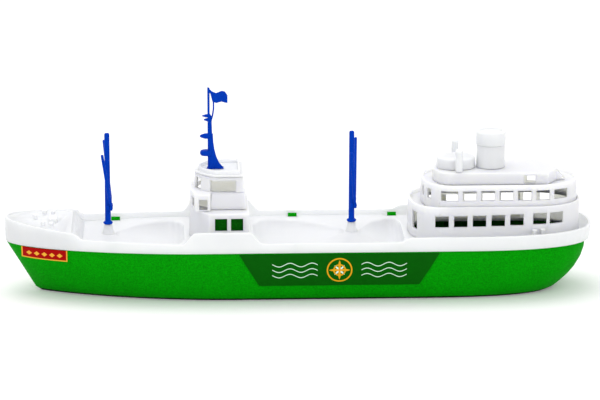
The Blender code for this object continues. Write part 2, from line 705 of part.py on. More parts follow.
def hold_loft(tip_x, wide_x, wide_half, grow, top):
    """Scooped hold: narrow and shallow at the mast, wide and deep at the house.

    One that reaches above the deck cuts the roll at its rim as well.
    """
    sections = 12
    curve = 12
    rounded_from = 0.72
    loops = []
    step = math.copysign(grow, wide_x - tip_x)
    for i in range(sections + 1):
        share = i / sections
        swell = math.sin(0.5 * math.pi * share)
        rounding = max(0.0, (share - rounded_from) / (1.0 - rounded_from))
        close = math.sqrt(1.0 - 0.75 * rounding ** 2.5)
        pinch = math.sin(0.5 * math.pi * min(1.0, share / HOLD_PINCH_RUN))
        plan = mix(HOLD_TIP_WIDTH / 2.0, wide_half, swell) * mix(HOLD_TIP_PINCH, 1.0, pinch)
        half = plan * close + grow
        depth = max(HOLD_DEPTH * swell * close, SOFTENING) + grow
        drop = min(HOLD_ROLL_DROP, depth / 2.0)
        x = mix(tip_x - step, wide_x + step, share)
        bowl = []
        for j in range(curve + 1):
            across = -math.cos(math.pi * j / curve)
            fall = 1.0 - abs(across) ** HOLD_SIDE_POWER
            bowl.append((x, half * across, DECK_Z - mix(drop, depth, fall)))
        if top < DECK_Z:
            loops.append([(x, half, top), (x, -half, top)] + bowl[1:-1])
            continue
        rim = half + HOLD_ROLL
        loops.append([(x, rim, DECK_Z), (x, rim, top), (x, -rim, top), (x, -rim, DECK_Z)] + bowl)
    return loft(loops)


def hold_places():
    """Mast end, house end and half width of the three holds."""
    past_pedestal = PEDESTAL_RADIUS + HOLD_TIP_MARGIN
    runs = ((FOREMAST_X - past_pedestal, BRIDGE_FRONT_X + HOLD_MARGIN),
            (MAINMAST_X + past_pedestal, BRIDGE_AFT_X - HOLD_MARGIN),
            (MAINMAST_X - past_pedestal, AFT_FRONT_X + HOLD_MARGIN))
    places = []
    for tip_x, wide_x in runs:
        inner = min(deck_edge(x, -WALL) for x in (wide_x, mix(tip_x, wide_x, 0.7)))
        places.append((tip_x, wide_x, inner - HOLD_SIDE_DECK))
    return places


def build_deck():
    plate_low = DECK_Z - WALL
    flare = SIDE_OVERHANG + BULWARK_FLARE
    loops = [
        deck_loop(flare - WALL, lambda x: DECK_Z),
        deck_loop(flare - WALL, bulwark_top),
        deck_loop(flare, bulwark_top),
        deck_loop(SIDE_OVERHANG, lambda x: HULL_DEPTH),
        deck_loop(SIDE_OVERHANG - WALL, lambda x: HULL_DEPTH),
        deck_loop(SIDE_OVERHANG - WALL, lambda x: plate_low),
    ]
    deck = add_object("deck", loft(loops), "white")
    add_forecastle(deck)
    for number, (tip_x, wide_x, half) in enumerate(hold_places()):
        shell = hold_loft(tip_x, wide_x, half, WALL, DECK_Z - WALL / 2.0)
        add_to(deck, "hold_shell_%d" % number, shell)
        scoop = hold_loft(tip_x, wide_x, half, 0.0, DECK_Z + OVERCUT)
        cut_from(deck, "hold_scoop_%d" % number, scoop)
    for name, outline in (("bridge", bridge_outline(BRIDGE_LOWER_WIDTH)), ("aft", aft_outline())):
        hole = prism(hole_under(outline), plate_low - OVERCUT, DECK_Z + OVERCUT)
        cut_from(deck, name + "_opening", hole)
    for number, mast_x in enumerate((FOREMAST_X, MAINMAST_X)):
        add_pedestal(deck, number, mast_x)
    for number, station in enumerate(TAB_STATIONS):
        for side in (1, -1):
            slot = tab_box(station, side, CLEARANCE, plate_low - OVERCUT, DECK_Z + OVERCUT)
            cut_from(deck, "tab_slot_%d_%d" % (number, side), slot)
    add_deck_fittings(deck)
    return deck


def add_forecastle(deck):
    """Raised fore deck, hollow below, with steps down to the main deck."""
    inner = SIDE_OVERHANG + BULWARK_FLARE - WALL
    low = DECK_Z - WALL / 2.0
    rise = FORECASTLE_RISE / (STEP_COUNT + 1)
    profile = [(STEM, low), (STEM, forecastle_level(STEM))]
    for i in range(STEP_COUNT + 1):
        step_x = FORECASTLE_BREAK - STEP_RUN * i
        height = FORECASTLE_Z - rise * i
        profile += [(step_x, height), (step_x, height - rise)]
    profile[-1] = (STEPS_FOOT, low)
    block = add_object("deck_forecastle", plate_across(profile, 2.0 * HULL_BEAM))
    plan = deck_slice(STEPS_FOOT - WALL, STEM, inner + BULWARK_LAP)
    trim = add_object("deck_forecastle_plan", prism(plan, 0.0, 2.0 * FORECASTLE_Z))
    combine(block, trim, "INTERSECT")
    combine(deck, block, "UNION")
    hollow = deck_slice(FORECASTLE_BREAK + WALL, STEM, inner - WALL)
    cut_from(deck, "forecastle_hollow", prism(hollow, HULL_DEPTH - WALL, FORECASTLE_Z - WALL))


def add_pedestal(deck, number, mast_x):
    """Round pedestal with a socket for the mast's peg."""
    low = DECK_Z - PEDESTAL_BOSS
    high = DECK_Z + PEDESTAL_HEIGHT
    root = DECK_Z - WALL / 2.0
    foot = PEDESTAL_RADIUS + PEDESTAL_FLARE
    profile = [(PEDESTAL_RADIUS, low), (PEDESTAL_RADIUS, root), (foot, root), (foot, DECK_Z + CLEARANCE)]
    for share in (0.35, 0.7):
        spread = PEDESTAL_FLARE * (1.0 - share) ** 2
        profile.append((PEDESTAL_RADIUS + spread, DECK_Z + share * PEDESTAL_HEIGHT))
    profile += [(PEDESTAL_RADIUS, high - SOFTENING), (PEDESTAL_RADIUS - SOFTENING, high)]
    centre = (mast_x, 0.0, 0.0)
    add_to(deck, "pedestal_%d" % number, turned(profile, ROUND_FACETS, centre))
    bore = [(PEG_SOCKET, low - OVERCUT), (PEG_SOCKET, high + OVERCUT)]
    cut_from(deck, "socket_%d" % number, turned(bore, ROUND_FACETS, centre))


def bollard(x, y, low, high):
    radius = BOLLARD_DIAMETER / 2.0
    head = 1.2 * radius
    profile = [(radius, low), (radius, high - 2.0 * SOFTENING), (head, high - 1.5 * SOFTENING),
               (head, high - SOFTENING), (head - SOFTENING, high)]
    return turned(profile, SMALL_FACETS, (x, y, 0.0))


def add_deck_fittings(deck):
    """Capstan, winch and bollards moulded on the forecastle and beside the aft house."""
    capstan_x = STEM - CAPSTAN_SETBACK
    level = forecastle_level(capstan_x)
    root = level - WALL / 2.0
    radius = CAPSTAN_DIAMETER / 2.0
    top = level + CAPSTAN_HEIGHT
    profile = [(radius, root), (0.75 * radius, mix(root, top, 0.6)), (radius, top - SOFTENING),
               (radius - SOFTENING, top)]
    add_to(deck, "capstan", turned(profile, SMALL_FACETS, (capstan_x, 0.0, 0.0)))
    winch_x = STEM - WINCH_SETBACK
    level = forecastle_level(winch_x)
    add_to(deck, "winch",
           box((winch_x - WINCH_LENGTH / 2.0, -WINCH_WIDTH / 2.0, level - WALL / 2.0),
               (winch_x + WINCH_LENGTH / 2.0, WINCH_WIDTH / 2.0, level + WINCH_HEIGHT)))
    for side in (1, -1):
        for pair in (1, -1):
            shift = pair * BOLLARD_SPACING / 2.0
            bow_x = STEM - BOW_BOLLARD_SETBACK + shift
            level = forecastle_level(bow_x)
            add_to(deck, "bow_bollard_%d_%d" % (side, pair),
                   bollard(bow_x, side * BOW_BOLLARD_SPREAD / 2.0, level - WALL / 2.0,
                           level + BOW_BOLLARD_HEIGHT))
            stern_x = STERN_BOLLARD_PLACE * BOAT_LENGTH + shift
            stern_y = deck_edge(stern_x, -WALL) - STERN_BOLLARD_INSET
            add_to(deck, "stern_bollard_%d_%d" % (side, pair),
                   bollard(stern_x, side * stern_y, DECK_Z - WALL / 2.0,
                           DECK_Z + STERN_BOLLARD_HEIGHT))


# Houses

def inside_rings(rings, base):
    """Room inside walls that are skinned over (outline, height) rings, open at both ends."""
    foot = inset(rings[0][0], WALL)
    inner = [(foot, base - 2.0 * SPIGOT_DEPTH), (foot, base + CLEARANCE)]
    inner += [(inset(ring, WALL), z) for ring, z in rings[1:]]
    inner.append((inset(rings[-1][0], WALL), rings[-1][1] + OVERCUT))
    return loft([at_height(ring, z) for ring, z in inner])


def build_house(name, rings, base, roof=None, roof_hole=None, well=None):
    """Open-bottomed walls on a spigot, skinned over (outline, height) rings.

    A roof may close them at the foot of a well.
    """
    bottom = base + CLEARANCE
    outline = rings[0][0]
    top = rings[-1][1]
    house = add_object(name, loft([at_height(ring, z) for ring, z in rings]), "white")
    add_to(house, "spigot", prism(inset(outline, SEAT), base - SPIGOT_DEPTH, bottom + WALL))
    if roof is None:
        return house
    cut_from(house, "inside", prism(inset(outline, WALL), base - 2.0 * SPIGOT_DEPTH, roof - WALL))
    if well:
        cut_from(house, "well", prism(well, roof, top + OVERCUT))
    if roof_hole:
        cut_from(house, "roof_opening", prism(roof_hole, roof - 2.0 * WALL, roof + OVERCUT))
    return house


def opening_heights(window, base, height):
    """Width, sill and head of a window that is given in shares of its storey."""
    width, sill, head = window
    return width, base + sill * height, base + head * height


def cut_window_pair(house, name, x, opening, reach):
    """Window through both sides at once."""
    width, low, high = opening
    cut_from(house, name, box((x - width / 2.0, -reach, low), (x + width / 2.0, reach, high)))


def cut_facet_window(house, name, start, end, opening):
    """Window in the middle of a wall facet, and its twin across the middle."""
    width, low, high = opening
    for side in (1, -1):
        centre = ((start[0] + end[0]) / 2.0, side * (start[1] + end[1]) / 2.0, (low + high) / 2.0)
        angle = math.atan2(side * (end[1] - start[1]), end[0] - start[0])
        cut_from(house, "%s_%d" % (name, side),
                 tilted_box(centre, (width, 4.0 * WALL, high - low), angle))


def build_bridge_lower_house():
    outline = bridge_outline(BRIDGE_LOWER_WIDTH)
    rings = [(outline, DECK_Z + CLEARANCE), (outline, BRIDGE_LOWER_Z)]
    house = build_house("bridge_lower_house", rings, DECK_Z, BRIDGE_LOWER_Z,
                        hole_under(bridge_upper_outline(0.0)))
    opening = opening_heights(BRIDGE_LOWER_WINDOW, DECK_Z, BRIDGE_LOWER_HEIGHT)
    for number, place in enumerate(BRIDGE_LOWER_WINDOW_PLACES):
        cut_window_pair(house, "window_%d" % number, BRIDGE_AFT_X + place * BRIDGE_LENGTH, opening,
                        BRIDGE_LOWER_WIDTH)
    return house


def build_bridge_upper_house():
    """Middle storey with a block round its front, and the wheelhouse above a narrow ledge."""
    ledge = mix(BRIDGE_LOWER_Z, BRIDGE_UPPER_Z, MIDDLE_STOREY_SHARE)
    rings = [(bridge_upper_outline(0.0), BRIDGE_LOWER_Z + CLEARANCE),
             (bridge_upper_outline(MIDDLE_STOREY_SHARE), ledge),
             (bridge_upper_outline(MIDDLE_STOREY_SHARE, WHEELHOUSE_STEP), ledge + WHEELHOUSE_STEP),
             (bridge_upper_outline(1.0, WHEELHOUSE_STEP), BRIDGE_UPPER_Z)]
    house = build_house("bridge_upper_house", rings, BRIDGE_LOWER_Z)
    block = block_outline()
    low = BRIDGE_LOWER_Z + CLEARANCE
    high = mix(BRIDGE_LOWER_Z, BRIDGE_UPPER_Z, BLOCK_HEIGHT_SHARE)
    add_to(house, "block", prism(block, low, high))
    cut_from(house, "block_inside", prism(inset(block, WALL), low + BLOCK_FLOOR, high - WALL))
    cut_from(house, "inside", inside_rings(rings, BRIDGE_LOWER_Z))
    level = (BRIDGE_LOWER_Z, BRIDGE_UPPER_HEIGHT)
    cut_window_pair(house, "block_window", block[0][0] - BLOCK_WINDOW_PLACE * BLOCK_LENGTH,
                    opening_heights(BLOCK_WINDOW, *level), BLOCK_WIDTH)
    cut_facet_window(house, "slit_window", block[0], block[1], opening_heights(SLIT_WINDOW, *level))
    cut_window_pair(house, "side_window", BRIDGE_AFT_X + WHEELHOUSE_WINDOW_PLACE * BRIDGE_LENGTH,
                    opening_heights(WHEELHOUSE_WINDOW, *level), BRIDGE_UPPER_WIDTH)
    front = rings[-1][0]
    cut_facet_window(house, "front_window", front[0], front[1],
                     opening_heights(WHEELHOUSE_FRONT_WINDOW, *level))
    return house


def build_bridge_roof():
    """Flat roof with a raised rim and the socket of the radar mast."""
    outline = bridge_upper_outline(1.0, WHEELHOUSE_STEP)
    low = BRIDGE_UPPER_Z + CLEARANCE
    roof = add_object("bridge_roof", prism(outline, low, ROOF_Z), "white")
    rim = inset(outline, ROOF_RIM_INSET)
    middle = mix(low, ROOF_Z, 0.5)
    add_to(roof, "rim", prism(rim, middle, ROOF_Z + ROOF_RIM_HEIGHT))
    cut_from(roof, "rim_well", prism(inset(rim, ROOF_RIM_WIDTH), ROOF_Z,
                                     ROOF_Z + 2.0 * ROOF_RIM_HEIGHT))
    spigot = inset(outline, WALL + CLEARANCE)
    add_to(roof, "spigot", prism(spigot, low - SPIGOT_DEPTH / 2.0, middle))
    socket = RADAR_PEG_DIAMETER / 2.0 + CLEARANCE
    boss = socket + RADAR_SOCKET_WALL
    centre = (RADAR_MAST_X, 0.0, 0.0)
    depth = RADAR_PEG_LENGTH + WALL
    add_to(roof, "socket_boss", turned([(boss, ROOF_Z - depth), (boss, middle)], SMALL_FACETS, centre))
    cut_from(roof, "socket", turned([(socket, ROOF_Z - 2.0 * depth), (socket, ROOF_Z + depth)],
                                    ROUND_FACETS, centre))
    return roof


def window_run(house, window, runs, base, height):
    """Rows of windows along both sides, rising a little toward the stern."""
    width, low, high = opening_heights(window, base, height)
    for number, (first, pitch, count) in enumerate(runs):
        for i in range(count):
            share = first + pitch * i
            sheer = WINDOW_SHEER * height * (share - runs[0][0]) ** 2
            rise = min(sheer, base + height - WALL - high)
            cut_window_pair(house, "window_%d_%d" % (number, i), AFT_FRONT_X - share * AFT_LENGTH,
                            (width, low + rise, high + rise), AFT_WIDTH)


def build_aft_lower_house():
    outline = aft_outline()
    rings = [(outline, DECK_Z + CLEARANCE), (outline, AFT_LOWER_Z + AFT_LOWER_PARAPET)]
    house = build_house("aft_lower_house", rings, DECK_Z, AFT_LOWER_Z,
                        hole_under(aft_outline(UPPER_SET_IN)), aft_outline(WELL_SET_IN))
    window_run(house, AFT_LOWER_WINDOW, AFT_LOWER_WINDOW_RUNS, DECK_Z, AFT_LOWER_HEIGHT)
    start, end = AFT_DOOR_FACETS
    cut_facet_window(house, "door", outline[start], outline[end],
                     opening_heights(AFT_DOOR, DECK_Z, AFT_LOWER_HEIGHT))
    return house


def build_aft_upper_house():
    outline = aft_outline(UPPER_SET_IN)
    rings = [(outline, AFT_LOWER_Z + CLEARANCE), (outline, AFT_UPPER_Z + AFT_UPPER_PARAPET)]
    house = build_house("aft_upper_house", rings, AFT_LOWER_Z, AFT_UPPER_Z,
                        hole_under(top_outline()), inset(outline, WALL))
    window_run(house, AFT_UPPER_WINDOW, AFT_UPPER_WINDOW_RUNS, AFT_LOWER_Z, AFT_UPPER_HEIGHT)
    first_x = AFT_FRONT_X - AFT_UPPER_WINDOW_RUNS[0][0] * AFT_LENGTH + FIRST_WINDOW_EXTRA
    cut_window_pair(house, "first_window", first_x,
                    opening_heights(AFT_UPPER_WINDOW, AFT_LOWER_Z, AFT_UPPER_HEIGHT), AFT_WIDTH)
    opening = opening_heights(FRONT_WINDOW, AFT_LOWER_Z, AFT_UPPER_HEIGHT)
    for number, (start, end) in enumerate(FRONT_WINDOW_FACETS):
        cut_facet_window(house, "front_window_%d" % number, outline[start], outline[end], opening)
    return house


def build_top_house():
    outline = top_outline()
    rings = [(outline, AFT_UPPER_Z + CLEARANCE), (outline, TOP_Z)]
    house = build_house("top_house", rings, AFT_UPPER_Z, TOP_Z)
    aft = TOP_FRONT_X - TOP_LENGTH
    foot = AFT_UPPER_Z + CLEARANCE
    slope = [(aft + WALL / 2.0, foot), (aft - TOP_SLOPE_LENGTH, foot),
             (aft - TOP_SLOPE_LENGTH, foot + SOFTENING), (aft + WALL / 2.0, TOP_Z - SOFTENING)]
    add_to(house, "slope", plate_across(slope, TOP_SLOPE_WIDTH))
    cut_window_pair(house, "door", TOP_FRONT_X - TOP_DOOR_PLACE * TOP_LENGTH,
                    opening_heights(TOP_DOOR, AFT_UPPER_Z, TOP_HEIGHT), TOP_WIDTH)
    socket = VENT_PEG_DIAMETER / 2.0 + CLEARANCE
    low = TOP_Z - 2.0 * WALL
    high = TOP_Z + OVERCUT
    for side in (1, -1):
        cut_from(house, "vent_socket_%d" % side,
                 turned([(socket, low), (socket, high)], SMALL_FACETS, (VENT_X, side * VENT_Y, 0.0)))
    hole = FUNNEL_DIAMETER / 2.0 - SEAT + CLEARANCE
    cut_from(house, "funnel_opening",
             turned([(hole, low), (hole, high)], ROUND_FACETS, (FUNNEL_X, 0.0, 0.0)))
    return house


def build_skylight_house():
    """Low house with round ends and a crowned top, moulded as a shell."""
    half = SKYLIGHT_WIDTH / 2.0
    aft = FUNNEL_X + FUNNEL_DIAMETER / 2.0 + FUNNEL_CAP_LAP + SKYLIGHT_GAP
    outline = mirrored(rounded_half(aft + SKYLIGHT_LENGTH, aft, half, half, half,
                                    (2.0, 2.0), (2.0, 2.0), (6, 1, 6)))
    low = TOP_Z + CLEARANCE
    high = low + SKYLIGHT_HEIGHT
    shell = loft([at_height(outline, low), at_height(outline, high - SKYLIGHT_CROWN),
                  at_height(inset(outline, SKYLIGHT_CROWN), high)])
    house = add_object("skylight_house", shell, "white")
    cut_from(house, "inside", prism(inset(outline, WALL), low - WALL, high - WALL))
    return house


def build_vent(word, side):
    radius = VENT_DIAMETER / 2.0
    peg = VENT_PEG_DIAMETER / 2.0
    low = TOP_Z + CLEARANCE
    high = low + VENT_HEIGHT
    profile = [(peg, TOP_Z - WALL), (peg, low), (radius, low), (radius, high - 4.0 * SOFTENING),
               (VENT_HEAD, high - 3.0 * SOFTENING), (VENT_HEAD, high - 2.0 * SOFTENING),
               (VENT_HEAD - 2.0 * SOFTENING, high)]
    vent = add_object("vent_" + word, turned(profile, SMALL_FACETS), "white")
    vent.location = (VENT_X, side * VENT_Y, 0.0)
    return vent


def build_funnel():
    """Tube on a spigot, open at both ends."""
    outer = FUNNEL_DIAMETER / 2.0
    low = TOP_Z + CLEARANCE
    high = low + FUNNEL_HEIGHT
    profile = [(outer - SEAT, TOP_Z - SPIGOT_DEPTH), (outer - SEAT, low), (outer, low), (outer, high)]
    funnel = add_object("funnel", turned(profile, ROUND_FACETS), "white")
    bore = outer - WALL
    cut_from(funnel, "bore", turned([(bore, low - 2.0 * SPIGOT_DEPTH), (bore, high + OVERCUT)],
                                    ROUND_FACETS))
    set_place(funnel, (FUNNEL_X, 0.0, 0.0))
    return funnel


def build_funnel_cap():
    """Wider drum that closes the funnel, with a shallow recess and a spigot."""
    outer = FUNNEL_DIAMETER / 2.0 + FUNNEL_CAP_LAP
    spigot = FUNNEL_DIAMETER / 2.0 - WALL - CLEARANCE
    low = TOP_Z + FUNNEL_HEIGHT + 2.0 * CLEARANCE
    high = low + FUNNEL_CAP_HEIGHT
    rim = outer - WALL
    profile = [(spigot, low - SPIGOT_DEPTH), (spigot, low), (outer, low), (outer, high - SOFTENING),
               (outer - SOFTENING, high), (rim, high), (rim, high - FUNNEL_CAP_RECESS)]
    cap = add_object("funnel_cap", turned(profile, ROUND_FACETS), "white")
    cap.location.x = FUNNEL_X
    return cap


# Masts

def build_mast(name, mast_x):
    """Post with a peg, a collar and a cross bar that carries the boom pins."""
    base = MAST_DIAMETER / 2.0
    top = MAST_TOP_DIAMETER / 2.0
    collar = COLLAR_DIAMETER / 2.0
    collar_top = MAST_BASE + COLLAR_HEIGHT
    high = collar_top + MAST_LENGTH
    peg = PEG_DIAMETER / 2.0
    low = MAST_BASE - PEG_LENGTH
    profile = [(peg - SOFTENING, low), (peg, low + SOFTENING), (peg, MAST_BASE),
               (collar - SOFTENING, MAST_BASE), (collar, mix(MAST_BASE, collar_top, 0.45)),
               (base, collar_top), (top, high - SOFTENING), (top - SOFTENING, high)]
    mast = add_object(name, turned(profile, SMALL_FACETS), "blue")
    half = BAR_DEPTH / 2.0
    bar_end = PIN_SPREAD / 2.0 + BAR_END
    add_to(mast, "bar", box((-half, -bar_end, HEEL_Z - BAR_HEIGHT / 2.0),
                            (half, bar_end, HEEL_Z + BAR_HEIGHT / 2.0)))
    pin = PIN_DIAMETER / 2.0
    reach = half + EYE_THICKNESS + 2.0 * CLEARANCE
    for side in (1, -1):
        start = (0.0, side * PIN_SPREAD / 2.0, HEEL_Z)
        add_to(mast, "pin_%d" % side,
               turned_along((-1.0, 0.0, 0.0), [(pin, 0.0), (pin, reach)], SMALL_FACETS, start))
    set_place(mast, (mast_x, 0.0, 0.0))
    return mast


def build_boom(name, mast_x, side, lean):
    """Spar with an eye at its heel; its origin is on the pin."""
    along = (1.0, 0.0, 0.0)
    rim = PIN_BORE + EYE_WALL
    eye = turned_along(along, [(rim, 0.0), (rim, EYE_THICKNESS)], SMALL_FACETS,
                       (-EYE_THICKNESS / 2.0, 0.0, 0.0))
    boom = add_object(name, eye, "blue")
    splay = math.radians(BOOM_SPLAY)
    tilt = math.radians(lean)
    direction = Vector((math.sin(tilt), side * math.sin(splay) * math.cos(tilt),
                        math.cos(splay) * math.cos(tilt)))
    thick = BOOM_DIAMETER / 2.0
    thin = BOOM_TIP_DIAMETER / 2.0
    heel = PIN_BORE + EYE_WALL / 2.0
    length = BOOM_LENGTH - heel
    spar = [(thick - SOFTENING, 0.0), (thick, 3.0 * heel), (thin, length - SOFTENING),
            (thin - SOFTENING, length)]
    add_to(boom, "spar", turned_along(direction, spar, SMALL_FACETS, direction * heel))
    bore = [(PIN_BORE, 0.0), (PIN_BORE, 2.0 * EYE_THICKNESS)]
    cut_from(boom, "eye_bore",
             turned_along(along, bore, SMALL_FACETS, (-EYE_THICKNESS, 0.0, 0.0)))
    set_place(boom, (mast_x + BOOM_X, side * PIN_SPREAD / 2.0, HEEL_Z))
    return boom


def fin_points(foot_top, post, height):
    """Fin that sweeps up in a hollow curve from the foot to the post."""
    curve = [(-post - FIN_LENGTH * (1.0 - t) ** 2, foot_top + height * t ** 1.3)
             for t in (0.0, 0.2, 0.4, 0.6, 0.8, 1.0)]
    root = foot_top - RADAR_FOOT_THICKNESS / 2.0
    return [(0.0, root), (-post - FIN_LENGTH, root)] + curve + [(0.0, foot_top + height)]


def upright_post(rings, front, facets):
    """Tapered post of (radius, height) rings, whose front stays upright."""
    loops = []
    for radius, z in rings:
        turns = [2.0 * math.pi * i / facets for i in range(facets)]
        loops.append([(front + radius * (math.cos(a) - 1.0), radius * math.sin(a), z) for a in turns])
    return loft(loops)


def flag_loops(root, top):
    """Waving flag as a row of sections from the rod to its free end."""
    loops = []
    half = FLAG_THICKNESS / 2.0
    for share, upper, lower in FLAG_OUTLINE:
        x = root - FLAG_LENGTH * share
        wave = FLAG_WAVE * math.sin(2.0 * math.pi * share)
        high = top - FLAG_HEIGHT * upper
        low = top - FLAG_HEIGHT * lower
        loops.append([(x, wave - half, low), (x, wave + half, low), (x, wave + half, high),
                      (x, wave - half, high)])
    return loops


def halyard_loops(root, high, low):
    """Thin line from the flag that swings out and comes in behind the post."""
    strand = HALYARD_DIAMETER / 2.0
    loops = []
    for share in (0.0, 0.25, 0.5, 0.75, 1.0):
        bow = HALYARD_BOW * math.sin(math.pi * mix(0.1, 0.9, share))
        x = mix(root - HALYARD_PLACE * FLAG_LENGTH, 0.0, share) - bow
        z = mix(high, low, share)
        loops.append([(x - strand, -strand, z), (x + strand, -strand, z),
                      (x + strand, strand, z), (x - strand, strand, z)])
    return loops


def build_radar_mast():
    """Mast with radar, lamp, horn and flag; its origin is on the peg's axis."""
    low = ROOF_Z + CLEARANCE
    foot_top = low + RADAR_FOOT_THICKNESS
    post = RADAR_POST_DIAMETER / 2.0
    tip = RADAR_POST_TOP_DIAMETER / 2.0
    rod = ROD_DIAMETER / 2.0
    post_top = foot_top + RADAR_POST_LENGTH
    rod_top = post_top + ROD_LENGTH
    peg = RADAR_PEG_DIAMETER / 2.0
    middle = mix(low, foot_top, 0.5)
    mast = add_object("radar_mast", turned([(peg, low - RADAR_PEG_LENGTH), (peg, middle)], SMALL_FACETS),
                      "blue")
    half_width = RADAR_FOOT_WIDTH / 2.0
    fin_root = 0.9 * post
    foot = box((-fin_root - FIN_LENGTH - SOFTENING, -half_width, low),
               (post + SOFTENING, half_width, foot_top))
    add_to(mast, "foot", foot)
    rings = [(post, middle), (tip, post_top - 4.0 * SOFTENING), (rod, post_top),
             (rod, rod_top - SOFTENING / 2.0), (rod / 2.0, rod_top)]
    add_to(mast, "post", upright_post(rings, post, SMALL_FACETS))
    fin = fin_points(foot_top, fin_root, FIN_HEIGHT_SHARE * RADAR_POST_LENGTH)
    add_to(mast, "fin", plate_across(fin, FIN_THICKNESS))
    half = RADAR_THICKNESS / 2.0
    disc = RADAR_DIAMETER / 2.0
    drum = [(0.55 * disc, -half), (0.88 * disc, -0.8 * half), (disc, -0.25 * half),
            (disc, 0.25 * half), (0.88 * disc, 0.8 * half), (0.55 * disc, half)]
    radar_z = mix(foot_top, post_top, RADAR_LEVEL)
    add_to(mast, "radar", turned(drum, ROUND_FACETS, (RADAR_REACH, 0.0, radar_z)))
    ahead = (1.0, 0.0, 0.0)
    bulb = LAMP_DIAMETER / 2.0
    lamp = [(bulb, 0.0), (bulb, 0.5 * LAMP_LENGTH), (0.6 * bulb, 0.85 * LAMP_LENGTH),
            (0.25 * bulb, LAMP_LENGTH)]
    lamp_z = mix(foot_top, post_top, LAMP_LEVEL)
    add_to(mast, "lamp", turned_along(ahead, lamp, SMALL_FACETS, (0.1 * tip, 0.0, lamp_z)))
    bell = HORN_DIAMETER / 2.0
    horn_z = mix(foot_top, post_top, HORN_LEVEL)
    for name, drop, reach in (("upper", 0.0, HORN_LENGTH), ("lower", HORN_GAP, 0.8 * HORN_LENGTH)):
        horn = [(bell, 0.0), (bell, 0.5 * reach), (0.35 * bell, reach)]
        start = (0.1 * tip, 0.0, horn_z - drop)
        add_to(mast, name + "_horn", turned_along(ahead, horn, SMALL_FACETS, start))
    flag_top = rod_top - FLAG_DROP
    add_to(mast, "flag", loft(flag_loops(post - rod, flag_top)))
    add_to(mast, "halyard", loft(halyard_loops(post - rod, flag_top - 0.6 * FLAG_HEIGHT,
                                               post_top - 10.0 * SOFTENING)))
    set_place(mast, (RADAR_MAST_X, 0.0, 0.0))
    return mast


# Stickers

def side_normal(x, z):
    """Outward direction of the hull's port side."""
    slope_x = half_breadth(x + SLOPE_STEP, z) - half_breadth(x - SLOPE_STEP, z)
    slope_z = half_breadth(x, z + SLOPE_STEP) - half_breadth(x, z - SLOPE_STEP)
    return Vector((-slope_x, 2.0 * SLOPE_STEP, -slope_z)).normalized()


def build_label(name, side, front, length, drops, slant, colour, columns):
    """Thin sheet that follows the hull's side."""
    rows = 5
    top = HULL_DEPTH * (1.0 - drops[0])
    foot = HULL_DEPTH * (1.0 - drops[1])
    bm = bmesh.new()
    sheets = []
    for depth in (CLEARANCE, CLEARANCE + LABEL_THICKNESS):
        sheet = []
        for j in range(rows + 1):
            z = mix(top, foot, j / rows)
            ends = slant * j / rows
            row = []
            for i in range(columns + 1):
                x = mix(front - ends, front - length + ends, i / columns)
                point = Vector((x, half_breadth(x, z), z)) + side_normal(x, z) * depth
                row.append(bm.verts.new((point.x, side * point.y, point.z)))
            sheet.append(row)
        sheets.append(sheet)
    for sheet in sheets:
        for j in range(rows):
            for i in range(columns):
                bm.faces.new((sheet[j][i], sheet[j][i + 1], sheet[j + 1][i + 1], sheet[j + 1][i]))
    near, far = sheets
    edge = [(0, i) for i in range(columns)] + [(j, columns) for j in range(rows)]
    edge += [(rows, i) for i in range(columns, 0, -1)] + [(j, 0) for j in range(rows, 0, -1)]
    for (j, i), (m, k) in zip(edge, edge[1:] + edge[:1]):
        bm.faces.new((near[j][i], near[m][k], far[m][k], far[j][i]))
    return add_object(name, bm, colour)


def build_labels():
    for word, side in (("port", 1), ("starboard", -1)):
        build_label("bow_label_" + word, side, STEM - BOW_LABEL_SETBACK, BOW_LABEL_LENGTH,
                    BOW_LABEL_DROPS, 0.0, "red", 8)
        build_label("side_label_" + word, side, SIDE_LABEL_PLACE * BOAT_LENGTH,
                    SIDE_LABEL_LENGTH, SIDE_LABEL_DROPS, SIDE_LABEL_SLANT, "dark green", 14)


def build_boat():
    clear_scene()
    build_hull()
    build_deck()
    build_bridge_lower_house()
    build_bridge_upper_house()
    build_bridge_roof()
    build_radar_mast()
    for mast, mast_x, leans in (("foremast", FOREMAST_X, FORE_BOOM_LEANS),
                                ("mainmast", MAINMAST_X, MAIN_BOOM_LEANS)):
        build_mast(mast, mast_x)
        for word, side, lean in (("port", 1, leans[0]), ("starboard", -1, leans[1])):
            build_boom("%s_boom_%s" % (mast, word), mast_x, side, lean)
    build_aft_lower_house()
    build_aft_upper_house()
    build_top_house()
    build_skylight_house()
    build_vent("port", 1)
    build_vent("starboard", -1)
    build_funnel()
    build_funnel_cap()
    build_labels()


build_boat()
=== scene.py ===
import json
import math

import bmesh
import bpy
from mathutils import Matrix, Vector
from mathutils.bvhtree import BVHTree

